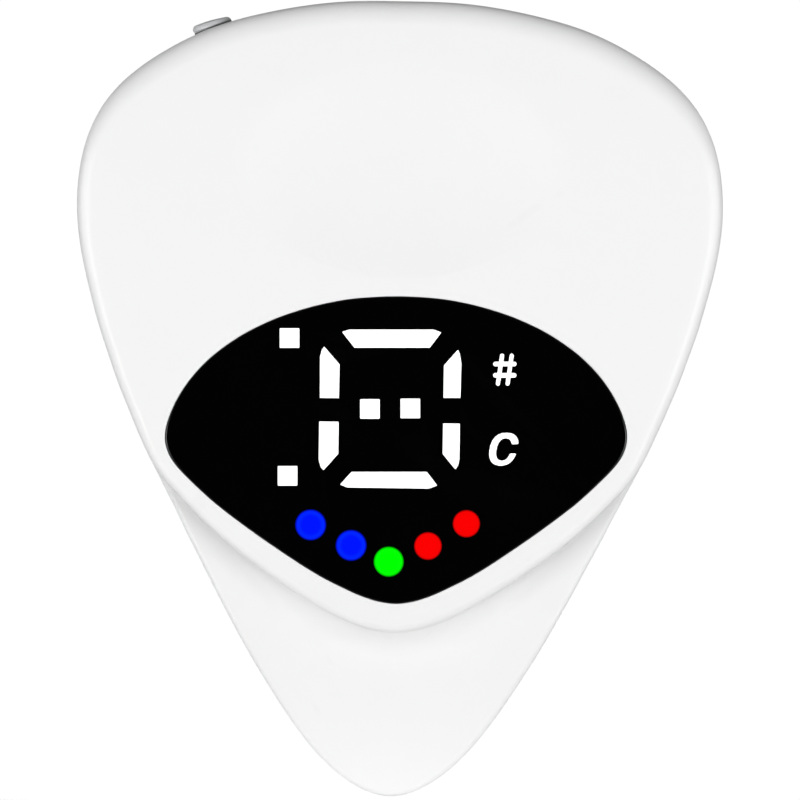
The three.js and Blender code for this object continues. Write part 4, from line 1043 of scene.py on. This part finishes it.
def back_cover():
    cover = round_slab("back_cover_visual", inset(BODY, 0.03), COVER_Y, BACK_Y,
                       front_round=0.12, back_round=0.55, steps=8)
    join_ears(cover, foot=3.6, root_y=BACK_Y - 0.4, inner_x=4.2, outer_x=6.4)
    cut(cover, plain_slab("pocket", inset(PAD, -PAD_CLEAR), -PAD_THICK - 0.02, 1),
        hinge_bore(1.06, 8),
        *[rod_y("hole", x, z, 0.95, -4, 2, 48) for x, z in SCREWS],
        *[rod_y("counterbore", x, z, 1.6, BACK_Y - 0.75, 2, 64) for x, z in SCREWS])
    shade(cover, 32)
    paint(cover, WHITE_BACK, "front_arm", "back_cover")


def front_pad():
    pad = round_slab("front_pad_visual", PAD, -PAD_THICK, 0, back_round=0.3)
    shade(pad, 35)
    paint(pad, RUBBER, "front_arm", "front_pad")


def cover_screws():
    """Screws driven from the back, with a cross recess in each head."""
    top = BACK_Y - 0.06
    profile = [(0, top), (1.1, top), (1.32, top - 0.04), (1.46, top - 0.14), (1.5, top - 0.3),
               (1.5, top - 0.64), (0.66, top - 0.64), (0.66, -6.6), (0.3, -7.1), (0, -7.1)]
    length, width = 0.85, 0.14        # half sizes of the recess's bars
    corners = ((length, width), (-length, width), (-length, -width), (length, -width))
    for k, ((x, z), turn) in enumerate(zip(SCREWS, SCREW_TURNS), 1):
        screw = turned(f"cover_screw_{k}_visual", profile, (x, 0, z), (0, 1, 0))
        for quarter in (0, 1):
            a = math.radians(turn) + quarter * math.pi / 2
            c, s = math.cos(a), math.sin(a)
            bar = [(x + c * along - s * across, z + s * along + c * across)
                   for along, across in corners]
            cut(screw, prism("slot", bar, top - 0.42, top + 1))
        shade(screw, 32)
        paint(screw, STEEL, "front_arm", f"cover_screw_{k}")


# ---------------------------------------------------------------- charging socket
def charge_socket():
    socket = socket_box("charge_socket_visual", 4.47, 1.6, 40.1, 47.0, 1.15, 12)
    cut(socket, socket_box("inside", 4.15, 1.3, 41.0, 48.0, 0.9, 12))
    shade(socket, 32, bevel=0.06)
    paint(socket, STEEL, "front_arm", "charge_socket")


def charge_socket_tongue():
    """Flat tongue with a row of fine grooves in its back face."""
    half_thick, groove_depth, grooves, pitch, groove_half = 0.35, 0.05, 12, 0.5, 0.06
    tongue = socket_box("charge_socket_tongue_visual", 3.3, half_thick, 41.05, 46.1, 0.15, 4)
    groove_y = SOCKET_Y + half_thick - groove_depth
    for k in range(grooves):
        x = (k - (grooves - 1) / 2) * pitch
        x0, x1 = x - groove_half, x + groove_half
        cut(tongue, prism("groove", [(x0, 42.5), (x1, 42.5), (x1, 47), (x0, 47)],
                          groove_y, groove_y + 0.2))
    shade(tongue, 32)
    paint(tongue, CHIP, "front_arm", "charge_socket_tongue")


# ---------------------------------------------------------------- hinge pin, clip ring, spring
def hinge_pin():
    # radius, x: domed head at the left, groove for the clip ring at the right
    profile = [(0, -9.75), (1.15, -9.75), (1.38, -9.7), (1.54, -9.56), (1.6, -9.35),
               (1.6, -8.85), (1.0, -8.85), (1.0, 8.88), (0.72, 8.88), (0.72, 9.42),
               (1.0, 9.42), (1.0, 9.7), (0.9, 9.82), (0.7, 9.85), (0, 9.85)]
    pin = turned("hinge_pin_visual", profile, (0, HINGE_Y, HINGE_Z), (1, 0, 0), 72)
    shade(pin, 32)
    paint(pin, STEEL, "front_arm", "hinge_pin")


def pin_clip():
    """Open ring in the pin's groove, its gap downward."""
    angles = [math.radians(-55 + 290 * k / 48) for k in range(49)]
    polygon = [(HINGE_Y + radius * math.cos(a), HINGE_Z + radius * math.sin(a))
               for radius, arc in ((1.75, angles), (0.8, angles[::-1])) for a in arc]
    clip = prism("pin_clip_visual", polygon, 8.95, 9.35, "x")
    shade(clip, 35, bevel=0.05)
    paint(clip, STEEL, "front_arm", "pin_clip")


def jaw_y(z):
    """Inner face of the sloping jaw, which carries the rear pad."""
    return (JAW_GAP + (z - PAD_LOW) * math.tan(JAW_TILT)
            + (PAD_THICK - PAD_SINK) / math.cos(JAW_TILT))


def arm_inner(z):
    """Inner face of the rear arm: the jaw, a smooth bend, then straight to the top."""
    z = np.asarray(z, float)
    height = ARM_BEND_Z - JAW_TOP
    top_slope = (ARM_TOP_Y - ARM_BEND_Y) / (ARM_TOP - ARM_BEND_Z)
    start_slope = math.tan(JAW_TILT) * 0.35
    t = np.clip((z - JAW_TOP) / height, 0, 1)
    t2, t3 = t * t, t * t * t
    bend = ((2 * t3 - 3 * t2 + 1) * jaw_y(JAW_TOP) + (t3 - 2 * t2 + t) * height * start_slope
            + (-2 * t3 + 3 * t2) * ARM_BEND_Y + (t3 - t2) * height * top_slope)
    straight = ARM_BEND_Y + (z - ARM_BEND_Z) * top_slope
    return np.where(z <= JAW_TOP, jaw_y(z), np.where(z < ARM_BEND_Z, bend, straight))


def torsion_spring():
    radius, half_length, leg_top = 2.42, 2.9, HINGE_Z + 10
    start, sweep_angle = math.radians(200), -math.radians(4 * 360 + 195)
    steps = 240
    coil = []
    for k in range(steps + 1):
        t = k / steps
        a = start + sweep_angle * t
        coil.append(Vector((-half_length + 2 * half_length * t,
                            HINGE_Y + radius * math.cos(a), HINGE_Z + radius * math.sin(a))))
    # one leg lies along the cover, the other along the rear arm
    cover_leg = smooth_path([
        (-half_length, BACK_Y + 0.45, leg_top), (-half_length, BACK_Y + 0.45, HINGE_Z + 6.5),
        (-half_length, BACK_Y + 0.9, HINGE_Z + 4.2),
        (-half_length, coil[0].y - 1.3, coil[0].z + 2.4), coil[0]])[:-1]
    arm_end = Vector((half_length, float(arm_inner(leg_top)) - 0.5, leg_top))
    arm_leg = [coil[-1].lerp(arm_end, t) for t in (0.2, 0.45, 0.7, 1.0)]
    spring = sweep("torsion_spring_visual", cover_leg + coil + arm_leg, 0.35, 14)
    shade(spring, 60)
    spring.modifiers.clear()
    spring.data.materials.append(SPRING)
    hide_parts("torsion_spring")
    to_frame(0, HINGE_Y - radius, HINGE_Z)
    to_frame(0, HINGE_Y + radius, HINGE_Z)
    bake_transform(spring)


# ---------------------------------------------------------------- rear arm and pad
def arm_outline():
    """The body's outline set inward, stretched or squeezed to ARM_TOP and narrowed upward."""
    stretch_from = 30
    body = inset(half_outline(body_radius, BODY_Z, 600), JAW_INSET)
    x, z = body.T
    scale = (ARM_TOP - stretch_from) / (z[-1] - stretch_from)
    arm_z = np.where(z > stretch_from, stretch_from + (z - stretch_from) * scale, z)
    return resample(np.c_[x * (1 - 0.24 * smoothstep(z, 17, 36)), arm_z], 180)


def arm_solid():
    outline = arm_outline()
    centre = np.array([0, 0, 24.0])
    scales = np.linspace(1, 0, 41)[1:-1]

    def inner(x, z):
        return arm_inner(z)

    def outer(x, z):
        return arm_inner(z) + JAW_THICK
    outer_edge = [ring(q, outer(0, q[:, 1]) - gap) for q, gap in edge_steps(outline, 0.9, 9)]
    inner_edge = [ring(q, inner(0, q[:, 1]) + gap) for q, gap in edge_steps(outline, 0.35, 6)]
    rings = (face_rings(outer_edge[-1], centre, scales, outer)[::-1] + outer_edge[::-1]
             + inner_edge + face_rings(inner_edge[-1], centre, scales, inner))
    middle_y, middle_z = float(arm_inner(centre[2])), centre[2]
    return loft("rear_arm_visual", rings, (0, middle_y + JAW_THICK, middle_z),
                (0, middle_y, middle_z))


def on_jaw(o):
    """From the pad's own plane to its seat on the sloping jaw."""
    o.data.transform(Matrix.Translation(Vector(to_frame(0, JAW_GAP, PAD_LOW)))
                     @ Matrix.Rotation(-JAW_TILT, 4, "X")
                     @ Matrix.Translation(-Vector(to_frame(0, 0, PAD_LOW))))
    return o


def join_ribs(arm):
    """Four round-ended ribs across the arm's back, shorter towards the top."""
    radius = 0.55
    for k in range(4):
        z = 35.4 + 2.1 * k
        half = (13 - 1.6 * k) / 2
        y = float(arm_inner(z)) + JAW_THICK - 0.25
        profile = [(0, -half - radius)]
        profile += [(radius * math.sin(a), -half - radius * math.cos(a))
                    for a in np.linspace(0.2, math.pi / 2, 8)]
        profile += [(radius * math.cos(a), half + radius * math.sin(a))
                    for a in np.linspace(0, math.pi / 2 - 0.2, 8)]
        profile += [(0, half + radius)]
        join(arm, turned("rib", profile, (0, y, z), (1, 0, 0), 32))


def rear_arm():
    arm = arm_solid()
    join_ears(arm, foot=3.2, root_y=9.4, inner_x=6.7, outer_x=8.7)
    join_ribs(arm)
    cut(arm, on_jaw(plain_slab("seat", inset(PAD, -PAD_CLEAR), -1, PAD_THICK + 0.02)),
        hinge_bore(1.09, 10))
    shade(arm, 32)
    paint(arm, WHITE_BACK, "rear_lever", "rear_arm")


def rear_pad():
    pad = on_jaw(round_slab("rear_pad_visual", PAD, 0, PAD_THICK, front_round=0.3))
    shade(pad, 35)
    paint(pad, RUBBER, "rear_lever", "rear_pad")


for build in (front_shell, display_window, segment_light_guide, dot_light_pipes, power_button,
              back_cover, front_pad, cover_screws, charge_socket, charge_socket_tongue,
              hinge_pin, pin_clip, torsion_spring, rear_arm, rear_pad):
    build()

# ---------------------------------------------------------------- CAD pieces kept in the housing
INSIDE = {
    "light_baffle": BAFFLE, "main_board": BOARD, "tuner_chip": CHIP, "charger_chip": CHIP,
    "crystal": STEEL, "power_switch": CHIP, "battery_cell": FOIL, "battery_tape": FOAM,
    "battery_lead_red": LEAD_RED, "battery_lead_black": LEAD_BLACK, "vibration_sensor": BRASS,
    "sensor_lead_red": LEAD_RED, "sensor_lead_black": LEAD_BLACK,
    **{f"dot_lamp_{k}": LAMP for k in range(1, 6)},
    **{f"digit_lamp_{k}": LAMP for k in range(1, 5)},
}
for name, m in INSIDE.items():
    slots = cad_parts[name].data.materials
    slots.clear()
    slots.append(m)

# ---------------------------------------------------------------- floor, light, camera (metres)
low_corner, high_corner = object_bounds()
centre_z = (low_corner.z + high_corner.z) / 2
# strengths of the soft light by direction and of the floor's glow by place
SKY = {"horizon": 0.20, "upper": 0.0, "overhead": 0.45, "sides": 0.0, "back": 0.10}
FLOOR = {"near": 0.29, "front": 0.01, "rest": 0.02}
FLOOR_SEEN = 0.5                    # what the camera sees of the floor's own glow
# name, degrees round from the front, degrees up, width, height, power, seen in reflections
PANELS = [
    ("panel", 24, -5, 0.42, 0.24, 1.76, True),
    ("wide_panel", 62, 2, 0.85, 0.34, 3.13, True),
    ("rear_panel", 163, 16, 0.42, 0.3, 2.2, False),     # no glint along the outline
]
PANEL_DISTANCE = 0.8


def floor_material():
    m = bpy.data.materials.new("floor")
    m.use_nodes = True
    tree = m.node_tree
    inputs = tree.nodes["Principled BSDF"].inputs
    inputs["Base Color"].default_value = (0.55, 0.55, 0.55, 1)
    inputs["Roughness"].default_value = 0.9
    inputs["Specular IOR Level"].default_value = 0.1
    x, y, _ = axes(tree, node(tree, "ShaderNodeNewGeometry").outputs["Position"])
    near = ramp(tree, distance(tree, x, y), 0.008, 0.03, 1.0, 0.0)
    far = calc(tree, "SUBTRACT", 1.0, near)
    front = calc(tree, "MULTIPLY", far, ramp(tree, y, -0.03, 0.01, 1.0, 0.0))
    rest = calc(tree, "SUBTRACT", far, front)
    glow = total(tree, [(FLOOR["near"], near), (FLOOR["front"], front), (FLOOR["rest"], rest)])
    seen = node(tree, "ShaderNodeLightPath").outputs["Is Camera Ray"]
    strength = node(tree, "ShaderNodeMix", {0: seen, 2: glow, 3: FLOOR_SEEN}).outputs[0]
    inputs["Emission Color"].default_value = (1, 1, 1, 1)
    tree.links.new(strength, inputs["Emission Strength"])
    grain = node(tree, "ShaderNodeTexNoise", {"Scale": 400}).outputs[0]
    bump = node(tree, "ShaderNodeBump", {"Strength": 0.05, "Distance": 0.0001, "Height": grain})
    tree.links.new(bump.outputs[0], inputs["Normal"])
    return m


def add_floor():
    mesh = bpy.data.meshes.new("floor")
    bm = bmesh.new()
    bmesh.ops.create_circle(bm, cap_ends=True, segments=128, radius=0.16)
    bm.to_mesh(mesh)
    bm.free()
    floor = bpy.data.objects.new("floor", mesh)
    floor.location = (0, 0, low_corner.z - 0.0026)
    bpy.context.scene.collection.objects.link(floor)
    mesh.materials.append(floor_material())
    floor.visible_shadow = False      # light from below passes, as through a light table


def add_world():
    """A soft tent, with a dark gap round the camera so that the black window stays black."""
    world = bpy.data.worlds.new("studio")
    bpy.context.scene.world = world
    world.use_nodes = True
    tree = world.node_tree
    tree.nodes.clear()
    x, y, z = axes(tree, node(tree, "ShaderNodeTexCoord").outputs["Generated"])
    facing = ramp(tree, y, -0.6, 0.2, 1.0, 0.0)
    sky = total(tree, [
        (SKY["horizon"], calc(tree, "MULTIPLY", hump(tree, z, 0.0, 0.25), facing)),
        (SKY["upper"], calc(tree, "MULTIPLY", hump(tree, z, 0.45, 0.25), facing)),
        (SKY["overhead"], ramp(tree, z, 0.6, 1.0)),
        (SKY["sides"], calc(tree, "MULTIPLY", hump(tree, z, 0.0, 0.35),
                            calc(tree, "MULTIPLY", x, x))),
        (SKY["back"], ramp(tree, y, 0.1, 0.9)),
    ])
    gap = ramp(tree, y, -0.9995, -0.975, 0.01, 1.0)
    white = (1, 1, 1, 1)
    light = node(tree, "ShaderNodeBackground", {0: white, 1: calc(tree, "MULTIPLY", sky, gap)})
    backdrop = node(tree, "ShaderNodeBackground", {0: white, 1: 1.02})
    seen = node(tree, "ShaderNodeLightPath").outputs["Is Camera Ray"]
    mixed = node(tree, "ShaderNodeMixShader",
                 {0: seen, 1: light.outputs[0], 2: backdrop.outputs[0]})
    node(tree, "ShaderNodeOutputWorld", {0: mixed.outputs[0]})


def add_panel(name, azimuth, elevation, width, height, power, reflected):
    """Rectangular light aimed at the tuner's middle."""
    light = bpy.data.lights.new(name, "AREA")
    light.shape, light.size, light.size_y, light.energy = "RECTANGLE", width, height, power
    o = bpy.data.objects.new(name, light)
    a, e = math.radians(azimuth), math.radians(elevation)
    outward = Vector((math.sin(a) * math.cos(e), -math.cos(a) * math.cos(e), math.sin(e)))
    o.location = Vector((0, 0, centre_z)) + outward * PANEL_DISTANCE
    o.rotation_mode = "QUATERNION"
    o.rotation_quaternion = (-outward).to_track_quat("-Z", "Y")
    bpy.context.scene.collection.objects.link(o)
    light.cycles.is_caustics_light = False
    o.visible_camera = False
    o.visible_glossy = reflected


def add_camera():
    """Long lens square to the front, leaning with the display so that it looks upright."""
    camera_distance = 2.0             # from the head's front
    frame_width = 0.04808             # seen at that distance
    aim_x, aim_height = 0.2, 23.87    # middle of the view, in millimetres
    data = bpy.data.cameras.new("camera")
    data.sensor_width = 36
    data.lens = data.sensor_width * camera_distance / frame_width
    data.clip_start, data.clip_end = 0.1, 10
    camera = bpy.data.objects.new("camera", data)
    bpy.context.scene.collection.objects.link(camera)
    camera.rotation_mode = "QUATERNION"
    camera.location = (Vector(to_frame(aim_x, HEAD_Y, aim_height))
                       - Vector((0, camera_distance, 0)))
    camera.rotation_quaternion = (Vector((0, 1, 0)).to_track_quat("-Z", "Y")
                                  @ Quaternion((0, 0, 1), DISPLAY_TILT))
    bpy.context.scene.camera = camera


add_floor()
add_world()
for side, sign in (("left", -1), ("right", 1)):
    for name, azimuth, *rest in PANELS:
        add_panel(f"{name}_{side}", sign * azimuth, *rest)
add_camera()
view = bpy.context.scene.view_settings
view.view_transform, view.look, view.exposure, view.gamma = "Standard", "None", 0, 1
